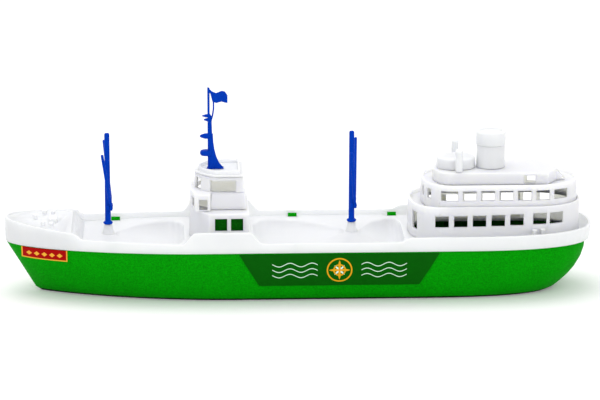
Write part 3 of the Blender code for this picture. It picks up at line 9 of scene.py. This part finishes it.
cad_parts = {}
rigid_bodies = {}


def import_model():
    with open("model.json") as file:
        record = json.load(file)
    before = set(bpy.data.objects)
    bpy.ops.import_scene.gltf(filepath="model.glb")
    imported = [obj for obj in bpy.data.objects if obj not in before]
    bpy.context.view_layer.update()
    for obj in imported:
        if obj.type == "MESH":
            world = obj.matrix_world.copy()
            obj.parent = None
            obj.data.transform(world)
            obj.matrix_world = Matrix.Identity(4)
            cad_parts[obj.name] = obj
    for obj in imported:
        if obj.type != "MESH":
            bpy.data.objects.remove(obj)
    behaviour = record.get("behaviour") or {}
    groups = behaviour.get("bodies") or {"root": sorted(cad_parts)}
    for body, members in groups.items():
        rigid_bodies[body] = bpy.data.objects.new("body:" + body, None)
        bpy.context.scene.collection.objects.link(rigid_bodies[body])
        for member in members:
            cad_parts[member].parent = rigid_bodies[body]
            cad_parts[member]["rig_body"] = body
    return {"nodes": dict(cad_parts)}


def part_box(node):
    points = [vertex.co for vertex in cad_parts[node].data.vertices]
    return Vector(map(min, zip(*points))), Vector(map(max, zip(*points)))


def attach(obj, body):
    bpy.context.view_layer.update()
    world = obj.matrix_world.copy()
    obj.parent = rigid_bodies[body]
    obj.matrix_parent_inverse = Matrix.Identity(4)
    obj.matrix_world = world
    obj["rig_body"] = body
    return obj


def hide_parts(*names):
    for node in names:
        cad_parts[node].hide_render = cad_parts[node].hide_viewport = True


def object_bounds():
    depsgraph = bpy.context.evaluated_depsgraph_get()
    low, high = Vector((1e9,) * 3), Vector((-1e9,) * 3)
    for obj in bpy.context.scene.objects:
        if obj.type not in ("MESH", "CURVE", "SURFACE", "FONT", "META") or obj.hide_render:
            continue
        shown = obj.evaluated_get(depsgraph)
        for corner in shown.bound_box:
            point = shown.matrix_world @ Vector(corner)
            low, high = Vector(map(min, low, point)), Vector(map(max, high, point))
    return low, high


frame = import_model()
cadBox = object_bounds()
scene = bpy.context.scene
scene.view_settings.view_transform = "Standard"
mm = 0.001


def linearColour(hexText):
    shares = [int(hexText[i:i + 2], 16) / 255 for i in (1, 3, 5)]
    return [c / 12.92 if c <= 0.04045 else ((c + 0.055) / 1.055) ** 2.4 for c in shares] + [1.0]


def addNode(tree, kind, inputs=None, out=0, **settings):
    node = tree.nodes.new("ShaderNode" + kind)
    for key, value in settings.items():
        setattr(node, key, value)
    for key, value in (inputs or {}).items():
        if isinstance(value, bpy.types.NodeSocket):
            tree.links.new(value, node.inputs[key])
        else:
            node.inputs[key].default_value = value
    return node.outputs[out]


def newMaterial(name):
    material = bpy.data.materials.new(name)
    material.use_nodes = True
    return material, material.node_tree, material.node_tree.nodes["Principled BSDF"]


# Camera at the photograph's angle: a long lens, a little above the deck, off the port side

view = {
    "target": Vector((-1.25 * mm, 0, 70.3 * mm)),
    "distance": 2.5,
    "rise": math.radians(14),
    "swing": math.radians(2.4),       # towards the bow
    "pixelsPerMetre": 1275.7,         # on the target, in a frame 600 pixels wide
    "frameWidth": 600,
    "sensor": 36,
    "farthest": 50,
}


def placeCamera():
    lens = bpy.data.cameras.new("camera")
    camera = bpy.data.objects.new("camera", lens)
    scene.collection.objects.link(camera)
    sight = Vector((math.sin(view["swing"]) * math.cos(view["rise"]),
                    math.cos(view["swing"]) * math.cos(view["rise"]), math.sin(view["rise"])))
    camera.location = view["target"] + view["distance"] * sight
    camera.rotation_euler = (-sight).to_track_quat("-Z", "Y").to_euler()
    lens.sensor_width = view["sensor"]
    lens.lens = view["pixelsPerMetre"] * view["distance"] / view["frameWidth"] * view["sensor"]
    lens.clip_end = view["farthest"]
    scene.camera = camera


placeCamera()
print("camera placed")


# White sweep of paper under soft light from all round, as in a light tent. The paper is uncoated:
# its pressed fibres scatter light evenly, so it has no glint.

tent = {
    "roomLight": 0.88,                # light from all round
    "paper": "#F4F4F4",
    "paperRoughness": 0.9,
    "paperGlow": 0.12,                # seen directly or mirrored, so the paper reads white
    "paperSize": 12.0,
    "paperDrop": 0.05 * mm,           # paper below the keel
    "aim": Vector((0, 0, 0.05)),
    "lamps": {                        # watts, size, place
        "overhead": (11.0, 1.4, Vector((0.2, -0.3, 1.7))),
        "front": (6.0, 1.2, Vector((-0.6, 2.0, 0.8))),
    },
}


def seenDirectly(tree):
    camera = addNode(tree, "LightPath", out="Is Camera Ray")
    rays = camera.node.outputs
    mirrored = addNode(tree, "Math", {0: camera, 1: rays["Is Glossy Ray"]}, operation="MAXIMUM")
    return addNode(tree, "Math", {0: mirrored, 1: rays["Is Transmission Ray"]}, operation="MAXIMUM")


def pitchTent():
    world = bpy.data.worlds.new("tent")
    world.use_nodes = True
    scene.world = world
    tree = world.node_tree
    strength = addNode(tree, "MapRange", {"Value": seenDirectly(tree),
                                          "To Min": tent["roomLight"], "To Max": 1.0})
    background = tree.nodes["Background"]
    background.inputs["Color"].default_value = (1, 1, 1, 1)
    tree.links.new(strength, background.inputs["Strength"])

    paper, tree, shader = newMaterial("whitePaper")
    shader.inputs["Base Color"].default_value = linearColour(tent["paper"])
    shader.inputs["Roughness"].default_value = tent["paperRoughness"]
    shader.inputs["Specular IOR Level"].default_value = 0.0
    shader.inputs["Emission Color"].default_value = (1, 1, 1, 1)
    glow = addNode(tree, "Math", {0: seenDirectly(tree), 1: tent["paperGlow"]}, operation="MULTIPLY")
    tree.links.new(glow, shader.inputs["Emission Strength"])

    half = tent["paperSize"] / 2
    sheet = bpy.data.meshes.new("paperSheet")
    sheet.from_pydata([(-half, -half, 0), (half, -half, 0), (half, half, 0), (-half, half, 0)], [],
                      [(0, 1, 2, 3)])
    sheet.materials.append(paper)
    floor = bpy.data.objects.new("paperSheet", sheet)
    floor.location.z = cadBox[0].z - tent["paperDrop"]
    scene.collection.objects.link(floor)

    for name, (watts, size, place) in tent["lamps"].items():
        lamp = bpy.data.lights.new(name, "AREA")
        lamp.energy = watts
        lamp.size = size
        holder = bpy.data.objects.new(name, lamp)
        holder.location = place
        holder.rotation_euler = (tent["aim"] - place).to_track_quat("-Z", "Y").to_euler()
        scene.collection.objects.link(holder)


pitchTent()
print("light tent pitched")


# Polypropylene from a spark-eroded mould: a fine even grain, a soft sheen, slow drifts of tone
# where the melt flowed, edges painted paler (partly wear from handling, partly a painted highlight)
# and, in the white, light that sinks a little way in. The grain of such a mould is about 0.1 mm
# wide; it is drawn coarser here, so that it shows.

plastics = {
    "whitePolypropylene": {
        "colour": "#EAEBEC", "drift": "#E6E8EA", "rubbedAndHighlit": "#EFEFEF",
        "roughness": (0.36, 0.46), "specular": 0.30,
        "glowDepth": 4.0 * mm, "glowTint": (1.0, 1.0, 0.93),
        "grain": 0.55 * mm, "grainHeight": 0.020 * mm, "grainTone": 0.0, "driftShare": 0.5,
        "sink": 14 * mm, "sinkHeight": 0.05 * mm, "edgeRadius": 0.35 * mm,
    },
    # the houses: the same white as the deck, painted lighter as painted light, with light sinking a little
    # deeper into their thin walls
    "thinPaintedLighterWhitePolypropylene": {
        "colour": "#EEEEEF", "drift": "#EBECED", "rubbedAndHighlit": "#F4F4F4",
        "roughness": (0.36, 0.46), "specular": 0.30,
        "glowDepth": 5.0 * mm, "glowTint": (1.0, 1.0, 0.80),
        "grain": 0.55 * mm, "grainHeight": 0.020 * mm, "grainTone": 0.0, "driftShare": 0.5,
        "sink": 14 * mm, "sinkHeight": 0.05 * mm, "edgeRadius": 0.35 * mm,
    },
    # and their inner faces, painted near white with a deep glow: painted light standing in for light through
    # the wall
    "thinPaintedLighterWhitePolypropyleneInside": {
        "colour": "#FCFCFC", "drift": "#FAFBFB", "rubbedAndHighlit": "#FDFDFD",
        "roughness": (0.36, 0.46), "specular": 0.30,
        "glowDepth": 20.0 * mm, "glowTint": (1.0, 1.0, 0.80),
        "grain": 0.55 * mm, "grainHeight": 0.020 * mm, "grainTone": 0.0, "driftShare": 0.5,
        "sink": 14 * mm, "sinkHeight": 0.05 * mm, "edgeRadius": 0.35 * mm,
    },
    "greenPolypropylene": {
        "colour": "#02AA03", "drift": "#027803", "rubbedAndHighlit": "#05AC08",
        "roughness": (0.52, 0.64), "specular": 0.03,
        "grain": 0.90 * mm, "grainHeight": 0.030 * mm, "grainTone": 0.60, "driftShare": 0.15,
        "sink": 22 * mm, "sinkHeight": 0.08 * mm, "edgeRadius": 0.40 * mm,
        "soleShadow": "#020C02", "soleShadowHeight": 1.8 * mm,     # painted contact shadow along the sole, where it meets the floor
        "hollow": "#010801", "hollowDepth": 120 * mm,    # painted shade on the inside, seen through the windows
        "hollowTop": 42 * mm,                            # just over the rim; the tabs above stay clear
    },
    # the hull's green painted darker: painted shade, for the panels inside the bridge
    "shadedGreenPolypropylene": {
        "colour": "#056405", "drift": "#033A03", "rubbedAndHighlit": "#066C06",
        "roughness": (0.52, 0.64), "specular": 0.03,
        "grain": 0.90 * mm, "grainHeight": 0.030 * mm, "grainTone": 0.60, "driftShare": 0.15,
        "sink": 22 * mm, "sinkHeight": 0.08 * mm, "edgeRadius": 0.40 * mm,
    },
    "bluePolypropylene": {
        "colour": "#0042C2", "drift": "#0030A0", "rubbedAndHighlit": "#0450C8",
        "roughness": (0.36, 0.46), "specular": 0.03,
        "grain": 0.90 * mm, "grainHeight": 0.015 * mm, "grainTone": 0.40, "driftShare": 0.25,
        "sink": 9 * mm, "sinkHeight": 0.06 * mm, "edgeRadius": 0.30 * mm,
    },
}
mould = {
    "ior": 1.49,                      # polypropylene
    "flowDetail": 3.0, "flowRoughness": 0.55,
    "grainDetail": 2.0, "grainRoughness": 0.6,
    "grainSpan": (0.3, 0.7),          # most of the grain's noise lies between these
    "grainGain": 4,                   # spreads that noise over the whole range of tones
    "rubAndHighlightTurn": 0.80,                  # cosine of the turn at which an edge is painted palest: partly wear, partly a painted highlight
    "rubAndHighlightMost": 0.7,
    "edgeSamples": 4,
    "soleShadowFade": (1.25, 0.75),        # shares of the painted sole shadow's height over which it comes in
    "hollowFade": (0.85, 0.55),       # shares of open view over which the painted hollow shade comes in
    "hollowSamples": 8,
}


def mouldPlastic(name, look):
    material, tree, shader = newMaterial(name)
    place = addNode(tree, "TexCoord", out="Object")
    flow = addNode(tree, "TexNoise", {"Vector": place, "Scale": 1 / look["sink"],
                                      "Detail": mould["flowDetail"], "Roughness": mould["flowRoughness"]})
    grain = addNode(tree, "TexNoise", {"Vector": place, "Scale": 1 / look["grain"],
                                       "Detail": mould["grainDetail"], "Roughness": mould["grainRoughness"]})

    # edges, where the rounded normal turns away from the face's own
    soft = addNode(tree, "Bevel", {"Radius": look["edgeRadius"]}, samples=mould["edgeSamples"])
    facing = addNode(tree, "NewGeometry", out="Normal")
    turn = addNode(tree, "VectorMath", {0: soft, 1: facing}, out="Value", operation="DOT_PRODUCT")
    # edges painted paler: partly wear from handling, partly a painted highlight
    rubAndHighlight = addNode(tree, "MapRange", {"Value": turn, "From Min": 1.0, "From Max": mould["rubAndHighlightTurn"],
                                     "To Min": 0.0, "To Max": mould["rubAndHighlightMost"]})

    # tone; a colour mix takes its factor, first and second colour at 0, 6 and 7
    speck = addNode(tree, "Math", {0: grain, 1: 0.5}, operation="SUBTRACT")
    slow = addNode(tree, "MapRange", {"Value": flow, "To Min": 0.5 - look["driftShare"],
                                      "To Max": 0.5 + look["driftShare"]})
    drift = addNode(tree, "Math", {0: speck, 1: mould["grainGain"] * look["grainTone"], 2: slow},
                    operation="MULTIPLY_ADD", use_clamp=True)
    tone = addNode(tree, "Mix", {0: drift, 6: linearColour(look["colour"]), 7: linearColour(look["drift"])},
                   out=2, data_type="RGBA")
    colour = addNode(tree, "Mix", {0: rubAndHighlight, 6: tone, 7: linearColour(look["rubbedAndHighlit"])},
                     out=2, data_type="RGBA")
    # painted contact shadow: the sole darkened near the floor, with a grainy upper edge
    if "soleShadow" in look:
        first, last = mould["soleShadowFade"]
        height = addNode(tree, "SeparateXYZ", {0: place}, out="Z")
        uneven = addNode(tree, "Math", {0: speck, 1: -look["soleShadowHeight"], 2: height},
                         operation="MULTIPLY_ADD")
        soleShaded = addNode(tree, "MapRange", {"Value": uneven, "From Min": first * look["soleShadowHeight"],
                                          "From Max": last * look["soleShadowHeight"]})
        colour = addNode(tree, "Mix", {0: soleShaded, 6: colour, 7: linearColour(look["soleShadow"])},
                         out=2, data_type="RGBA")
    # painted shade: the hull's inner faces below the rim turn dark where little open view lies around them
    if "hollow" in look:
        first, last = mould["hollowFade"]
        height = addNode(tree, "SeparateXYZ", {0: place}, out="Z")
        below = addNode(tree, "Math", {0: height, 1: look["hollowTop"]}, operation="LESS_THAN")
        clear = addNode(tree, "AmbientOcclusion", {"Distance": look["hollowDepth"]}, out="AO",
                        only_local=True, samples=mould["hollowSamples"])
        shut = addNode(tree, "MapRange", {"Value": clear, "From Min": first, "From Max": last})
        dark = addNode(tree, "Math", {0: shut, 1: below}, operation="MULTIPLY")
        colour = addNode(tree, "Mix", {0: dark, 6: colour, 7: linearColour(look["hollow"])},
                         out=2, data_type="RGBA")
    tree.links.new(colour, shader.inputs["Base Color"])

    least, most = mould["grainSpan"]
    low, high = look["roughness"]
    rough = addNode(tree, "MapRange", {"Value": grain, "From Min": least, "From Max": most,
                                       "To Min": low, "To Max": high})
    tree.links.new(rough, shader.inputs["Roughness"])
    sinks = addNode(tree, "Bump", {"Height": flow, "Normal": soft, "Distance": look["sinkHeight"]})
    pits = addNode(tree, "Bump", {"Height": grain, "Normal": sinks, "Distance": look["grainHeight"]})
    tree.links.new(pits, shader.inputs["Normal"])
    shader.inputs["IOR"].default_value = mould["ior"]
    shader.inputs["Specular IOR Level"].default_value = look["specular"]
    if "glowDepth" in look:
        shader.inputs["Subsurface Weight"].default_value = 1.0
        shader.inputs["Subsurface Radius"].default_value = look["glowTint"]
        shader.inputs["Subsurface Scale"].default_value = look["glowDepth"]
    return material


finishes = {name: mouldPlastic(name, look) for name, look in plastics.items()}
print("plastics mixed:", ", ".join(finishes))


# Each moulding is a copy of its solid with its edges rounded as a mould's are

mouldings = {
    "whitePolypropylene": ("white_plastic", [
        "deck", "bridge_roof", "skylight_house", "vent_port", "vent_starboard", "funnel", "funnel_cap"]),
    "thinPaintedLighterWhitePolypropylene": ("white_plastic", [
        "bridge_lower_house", "bridge_upper_house", "aft_lower_house", "aft_upper_house", "top_house"]),
    "greenPolypropylene": ("green_plastic", ["hull"]),
    "bluePolypropylene": ("blue_plastic", [
        "radar_mast", "foremast", "foremast_boom_port", "foremast_boom_starboard",
        "mainmast", "mainmast_boom_port", "mainmast_boom_starboard"]),
}
# the houses' inner faces take the copy of the white painted lighter still, as painted light
insides = {"thinPaintedLighterWhitePolypropylene": "thinPaintedLighterWhitePolypropyleneInside"}
skin = {
    "weld": 0.002 * mm,
    "flat": math.radians(0.25),       # faces this near to flush are joined
    "sliver": 0.02 * mm,
    "crease": math.radians(35),       # edges sharper than this are rounded
    "rounding": 0.25 * mm,
    "steps": 2,
    "room": 2.2,              # an edge is rounded where the edges that meet it are this many roundings long
    "tries": 5,
    "apart": 1.5 * mm,        # edges this near a fold are left sharp at the next try
    "across": 120 * mm,       # a face that looks at another of its piece within this is an inner one
}


def cleanCopy(node):
    bm = bmesh.new()
    bm.from_mesh(frame["nodes"][node].data)
    bmesh.ops.remove_doubles(bm, verts=bm.verts[:], dist=skin["weld"])
    bmesh.ops.dissolve_limit(bm, angle_limit=skin["flat"], verts=bm.verts[:], edges=bm.edges[:])
    bmesh.ops.dissolve_degenerate(bm, dist=skin["sliver"], edges=bm.edges[:])
    bmesh.ops.recalc_face_normals(bm, faces=bm.faces[:])
    return bm


# places where the surface cuts through itself
def foldsIn(bm):
    flat = bm.copy()
    bmesh.ops.triangulate(flat, faces=flat.faces[:])
    flat.faces.ensure_lookup_table()
    tree = BVHTree.FromBMesh(flat)
    pairs = [(flat.faces[a], flat.faces[b]) for a, b in tree.overlap(tree) if a < b]
    folds = [one.calc_center_median() for one, other in pairs if not set(one.verts) & set(other.verts)]
    flat.free()
    return folds


def isNear(edge, points):
    start, end = (corner.co for corner in edge.verts)
    along = end - start
    for point in points:
        share = min(1.0, max(0.0, (point - start).dot(along) / along.length_squared))
        if (start + share * along - point).length < skin["apart"]:
            return True
    return False


def roundEdges(bm):
    reach = skin["room"] * skin["rounding"]
    sharp = [edge for edge in bm.edges
             if len(edge.link_faces) == 2 and edge.calc_face_angle(0) > skin["crease"]]
    roomy = [edge.index for edge in sharp
             if all(other.calc_length() >= reach for end in edge.verts for other in end.link_edges)]
    for attempt in range(skin["tries"]):
        trial = bm.copy()
        trial.edges.ensure_lookup_table()
        bmesh.ops.bevel(trial, geom=[trial.edges[i] for i in roomy], offset=skin["rounding"],
                        offset_type="OFFSET", segments=skin["steps"], profile=0.5, affect="EDGES",
                        clamp_overlap=False)
        folds = foldsIn(trial)
        if not folds:
            bm.free()
            return trial
        trial.free()
        bm.edges.ensure_lookup_table()
        roomy = [i for i in roomy if not isNear(bm.edges[i], folds)]
    return bm


# second material on the inner faces
def markInside(bm):
    bm.normal_update()
    tree = BVHTree.FromBMesh(bm)
    for face in bm.faces:
        start = face.calc_center_median() + skin["weld"] * face.normal
        if tree.ray_cast(start, face.normal, skin["across"])[0] is not None:
            face.material_index = 1


def addPiece(name, bm, material, body):
    mesh = bpy.data.meshes.new(name)
    bm.to_mesh(mesh)
    bm.free()
    mesh.shade_smooth()
    mesh.set_sharp_from_angle(angle=skin["crease"])
    mesh.materials.append(material)
    piece = bpy.data.objects.new(name, mesh)
    scene.collection.objects.link(piece)
    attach(piece, body)
    return piece


def bodyOf(node):
    return frame["nodes"][node]["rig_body"]


def fitMouldings():
    for finish, (slotName, nodes) in mouldings.items():
        for node in nodes:
            bm = cleanCopy(node)
            bm.edges.index_update()
            before = len(bm.faces)
            bm = roundEdges(bm)
            if finish in insides:
                markInside(bm)
            piece = addPiece(node + "_moulding", bm, finishes[finish], bodyOf(node))
            if finish in insides:
                piece.data.materials.append(finishes[insides[finish]])
            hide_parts(node)
            print(node, before, "faces, then", len(piece.data.polygons))


fitMouldings()
print("mouldings fitted")


# Green panels behind the bridge's lower windows; only the windows show them. They are the hull's green,
# painted darker as the shade in there

panel = {
    "windows": (61.4 * mm, 49.0 * mm),    # middles, from the origin
    "width": 11.8 * mm,
    "low": 53.5 * mm,
    "high": 66.4 * mm,
    "behind": 0.35 * mm,                  # the wall's inner face
    "wall": 2.2 * mm,
    "thickness": 1.0 * mm,
    "rounding": 0.3 * mm,
    "steps": 2,
}


def fitPanels():
    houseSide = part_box("bridge_lower_house")[1].y
    size = Vector((panel["width"], panel["thickness"], panel["high"] - panel["low"]))
    across = houseSide - panel["wall"] - panel["behind"] - panel["thickness"] / 2
    level = (panel["low"] + panel["high"]) / 2
    for side, word in ((1, "port"), (-1, "starboard")):
        for number, middle in enumerate(panel["windows"]):
            bm = bmesh.new()
            corners = bmesh.ops.create_cube(bm, size=1)["verts"]
            bmesh.ops.scale(bm, vec=size, verts=corners)
            bmesh.ops.translate(bm, vec=(middle, side * across, level), verts=corners)
            bmesh.ops.bevel(bm, geom=bm.edges[:], offset=panel["rounding"], segments=panel["steps"],
                            profile=0.5, affect="EDGES")
            addPiece("window_panel_%s_%d" % (word, number), bm, finishes["shadedGreenPolypropylene"],
                     bodyOf("bridge_lower_house"))


fitPanels()
print("panels fitted behind the windows")


# Printed vinyl labels: a smooth film with a low even gloss; the ink lies flat in it

film = {
    "ior": 1.5, "specular": 0.03, "roughness": 0.42,
    "drift": 6 * mm, "driftDetail": 2.0,
    "grain": 0.7 * mm, "grainDetail": 2.0, "grainHeight": 0.010 * mm,    # the wall's grain shows through
}
sideLabel = {
    "ground": "#055E05", "groundDrift": "#045204", "line": "#DCF8E4", "gold": "#E8A41C",
    "waveLength": 17 * mm, "waveHeight": 1.5 * mm, "waveRows": 4.6 * mm, "waveLine": 0.32 * mm,
    "waveFrom": 17 * mm, "waveTo": 52 * mm, "waveBand": 7.2 * mm,
    "rings": (9.4 * mm, 4.4 * mm), "ringLine": 0.55 * mm,
    "point": 8.2 * mm, "smallPoint": 5.6 * mm, "pointFoot": 1.0 * mm, "pointCurve": 2.2,
    "soft": 0.10 * mm,
}
bowLabel = {
    "ground": "#B00809", "groundDrift": "#A00708", "border": "#F2B23C",
    "borderLine": 0.95 * mm, "soft": 0.12 * mm,
    "markSpacing": 6.0 * mm, "markLength": 4.6 * mm, "markHeight": 3.8 * mm, "marks": 5,
}


def layFilm(name, node, look):
    material, tree, shader = newMaterial(name)
    shader.inputs["Roughness"].default_value = film["roughness"]
    shader.inputs["IOR"].default_value = film["ior"]
    shader.inputs["Specular IOR Level"].default_value = film["specular"]
    place = addNode(tree, "TexCoord", out="Object")
    drift = addNode(tree, "TexNoise", {"Vector": place, "Scale": 1 / film["drift"],
                                       "Detail": film["driftDetail"]})
    ground = addNode(tree, "Mix", {0: drift, 6: linearColour(look["ground"]),
                                   7: linearColour(look["groundDrift"])}, out=2, data_type="RGBA")
    grain = addNode(tree, "TexNoise", {"Vector": place, "Scale": 1 / film["grain"],
                                       "Detail": film["grainDetail"]})
    lift = addNode(tree, "Bump", {"Height": grain, "Distance": film["grainHeight"]})
    tree.links.new(lift, shader.inputs["Normal"])
    low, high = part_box(node)
    parts = addNode(tree, "SeparateXYZ", {0: place}, out="X").node.outputs
    along = addNode(tree, "Math", {0: parts["X"], 1: (low.x + high.x) / 2}, operation="SUBTRACT")
    up = addNode(tree, "Math", {0: parts["Z"], 1: (low.z + high.z) / 2}, operation="SUBTRACT")
    return material, tree, shader, ground, along, up


def printSideLabel(node, look):
    material, tree, shader, colour, along, up = layFilm("printedVinylGreen_" + node, node, look)
    soft = look["soft"]

    # rows of waves to both sides
    span = addNode(tree, "Math", {0: along}, operation="ABSOLUTE")
    phase = addNode(tree, "Math", {0: span, 1: 2 * math.pi / look["waveLength"]}, operation="MULTIPLY")
    swell = addNode(tree, "Math", {0: phase}, operation="SINE")
    level = addNode(tree, "Math", {0: swell, 1: -look["waveHeight"], 2: up}, operation="MULTIPLY_ADD")
    offRow = addNode(tree, "Math", {0: level, 1: look["waveRows"] / 2}, operation="PINGPONG")
    offMiddle = addNode(tree, "Math", {0: level}, operation="ABSOLUTE")
    bandMiddle = (look["waveFrom"] + look["waveTo"]) / 2
    bandHalf = (look["waveTo"] - look["waveFrom"]) / 2
    reach = addNode(tree, "Math", {0: span, 1: bandMiddle}, operation="SUBTRACT")
    offBand = addNode(tree, "Math", {0: reach}, operation="ABSOLUTE")
    waves = 1.0
    for distance, limit in ((offRow, look["waveLine"]), (offMiddle, look["waveBand"]), (offBand, bandHalf)):
        within = addNode(tree, "MapRange", {"Value": distance, "From Min": limit + soft,
                                            "From Max": limit - soft})
        waves = addNode(tree, "Math", {0: within, 1: waves}, operation="MULTIPLY")
    inks = [(waves, look["line"])]

    # compass rose in the middle: small points, rings, then the large points over them
    across = addNode(tree, "Math", {0: along, 1: along}, operation="MULTIPLY")
    square = addNode(tree, "Math", {0: up, 1: up, 2: across}, operation="MULTIPLY_ADD")
    radius = addNode(tree, "Math", {0: square}, operation="SQRT")
    angle = addNode(tree, "Math", {0: up, 1: along}, operation="ARCTAN2")
    eighth = math.pi / 4
    points = []
    for length, turn, ink in ((look["smallPoint"], eighth, "line"), (look["point"], 0.0, "gold")):
        swung = addNode(tree, "Math", {0: angle, 1: turn}, operation="ADD")
        off = addNode(tree, "Math", {0: swung, 1: eighth}, operation="PINGPONG")
        share = addNode(tree, "Math", {0: off, 1: -1 / eighth, 2: 1.0}, operation="MULTIPLY_ADD")
        curve = addNode(tree, "Math", {0: share, 1: look["pointCurve"]}, operation="POWER")
        edge = addNode(tree, "Math", {0: curve, 1: length - look["pointFoot"], 2: look["pointFoot"]},
                       operation="MULTIPLY_ADD")
        points.append((addNode(tree, "Math", {0: radius, 1: edge}, operation="SUBTRACT"), 0.0, ink))
    rings = []
    for ring in look["rings"]:
        off = addNode(tree, "Math", {0: radius, 1: ring}, operation="SUBTRACT")
        rings.append((addNode(tree, "Math", {0: off}, operation="ABSOLUTE"), look["ringLine"], "gold"))
    smallPoints, largePoints = points
    for distance, limit, ink in [smallPoints] + rings + [largePoints]:
        within = addNode(tree, "MapRange", {"Value": distance, "From Min": limit + soft,
                                            "From Max": limit - soft})
        inks.append((within, look[ink]))

    for mask, hexText in inks:
        colour = addNode(tree, "Mix", {0: mask, 6: colour, 7: linearColour(hexText)},
                         out=2, data_type="RGBA")
    tree.links.new(colour, shader.inputs["Base Color"])
    return material


def printBowLabel(node, look):
    material, tree, shader, colour, along, up = layFilm("printedVinylRed_" + node, node, look)
    soft = look["soft"]

    # border at both ends and along the foot; the top runs under the skirt
    low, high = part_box(node)
    span = addNode(tree, "Math", {0: along}, operation="ABSOLUTE")
    toEnd = addNode(tree, "Math", {0: (high.x - low.x) / 2, 1: span}, operation="SUBTRACT")
    toFoot = addNode(tree, "Math", {0: up, 1: (high.z - low.z) / 2}, operation="ADD")
    nearest = addNode(tree, "Math", {0: toEnd, 1: toFoot}, operation="MINIMUM")
    rim = addNode(tree, "MapRange", {"Value": nearest, "From Min": look["borderLine"] + soft,
                                     "From Max": look["borderLine"] - soft})

    # row of lozenges
    half = look["markLength"] / 2
    slant = look["markLength"] / look["markHeight"]
    offMark = addNode(tree, "Math", {0: along, 1: look["markSpacing"] / 2}, operation="PINGPONG")
    offRow = addNode(tree, "Math", {0: up}, operation="ABSOLUTE")
    outward = addNode(tree, "Math", {0: offRow, 1: slant, 2: offMark}, operation="MULTIPLY_ADD")
    mark = addNode(tree, "MapRange", {"Value": outward, "From Min": half + soft, "From Max": half - soft})
    inRow = addNode(tree, "Math", {0: span, 1: look["marks"] * look["markSpacing"] / 2},
                    operation="LESS_THAN")
    ink = addNode(tree, "Math", {0: mark, 1: inRow, 2: rim}, operation="MULTIPLY_ADD", use_clamp=True)

    colour = addNode(tree, "Mix", {0: ink, 6: colour, 7: linearColour(look["border"])},
                     out=2, data_type="RGBA")
    tree.links.new(colour, shader.inputs["Base Color"])
    return material


def stickLabels():
    for side in ("port", "starboard"):
        for kind, printLabel, look, slotName in (("side", printSideLabel, sideLabel, "green_label"),
                                                 ("bow", printBowLabel, bowLabel, "red_label")):
            node = kind + "_label_" + side
            printed = printLabel(node, look)
            piece = addPiece(node + "_film", cleanCopy(node), printed, bodyOf(node))
            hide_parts(node)


stickLabels()
print("labels stuck on")
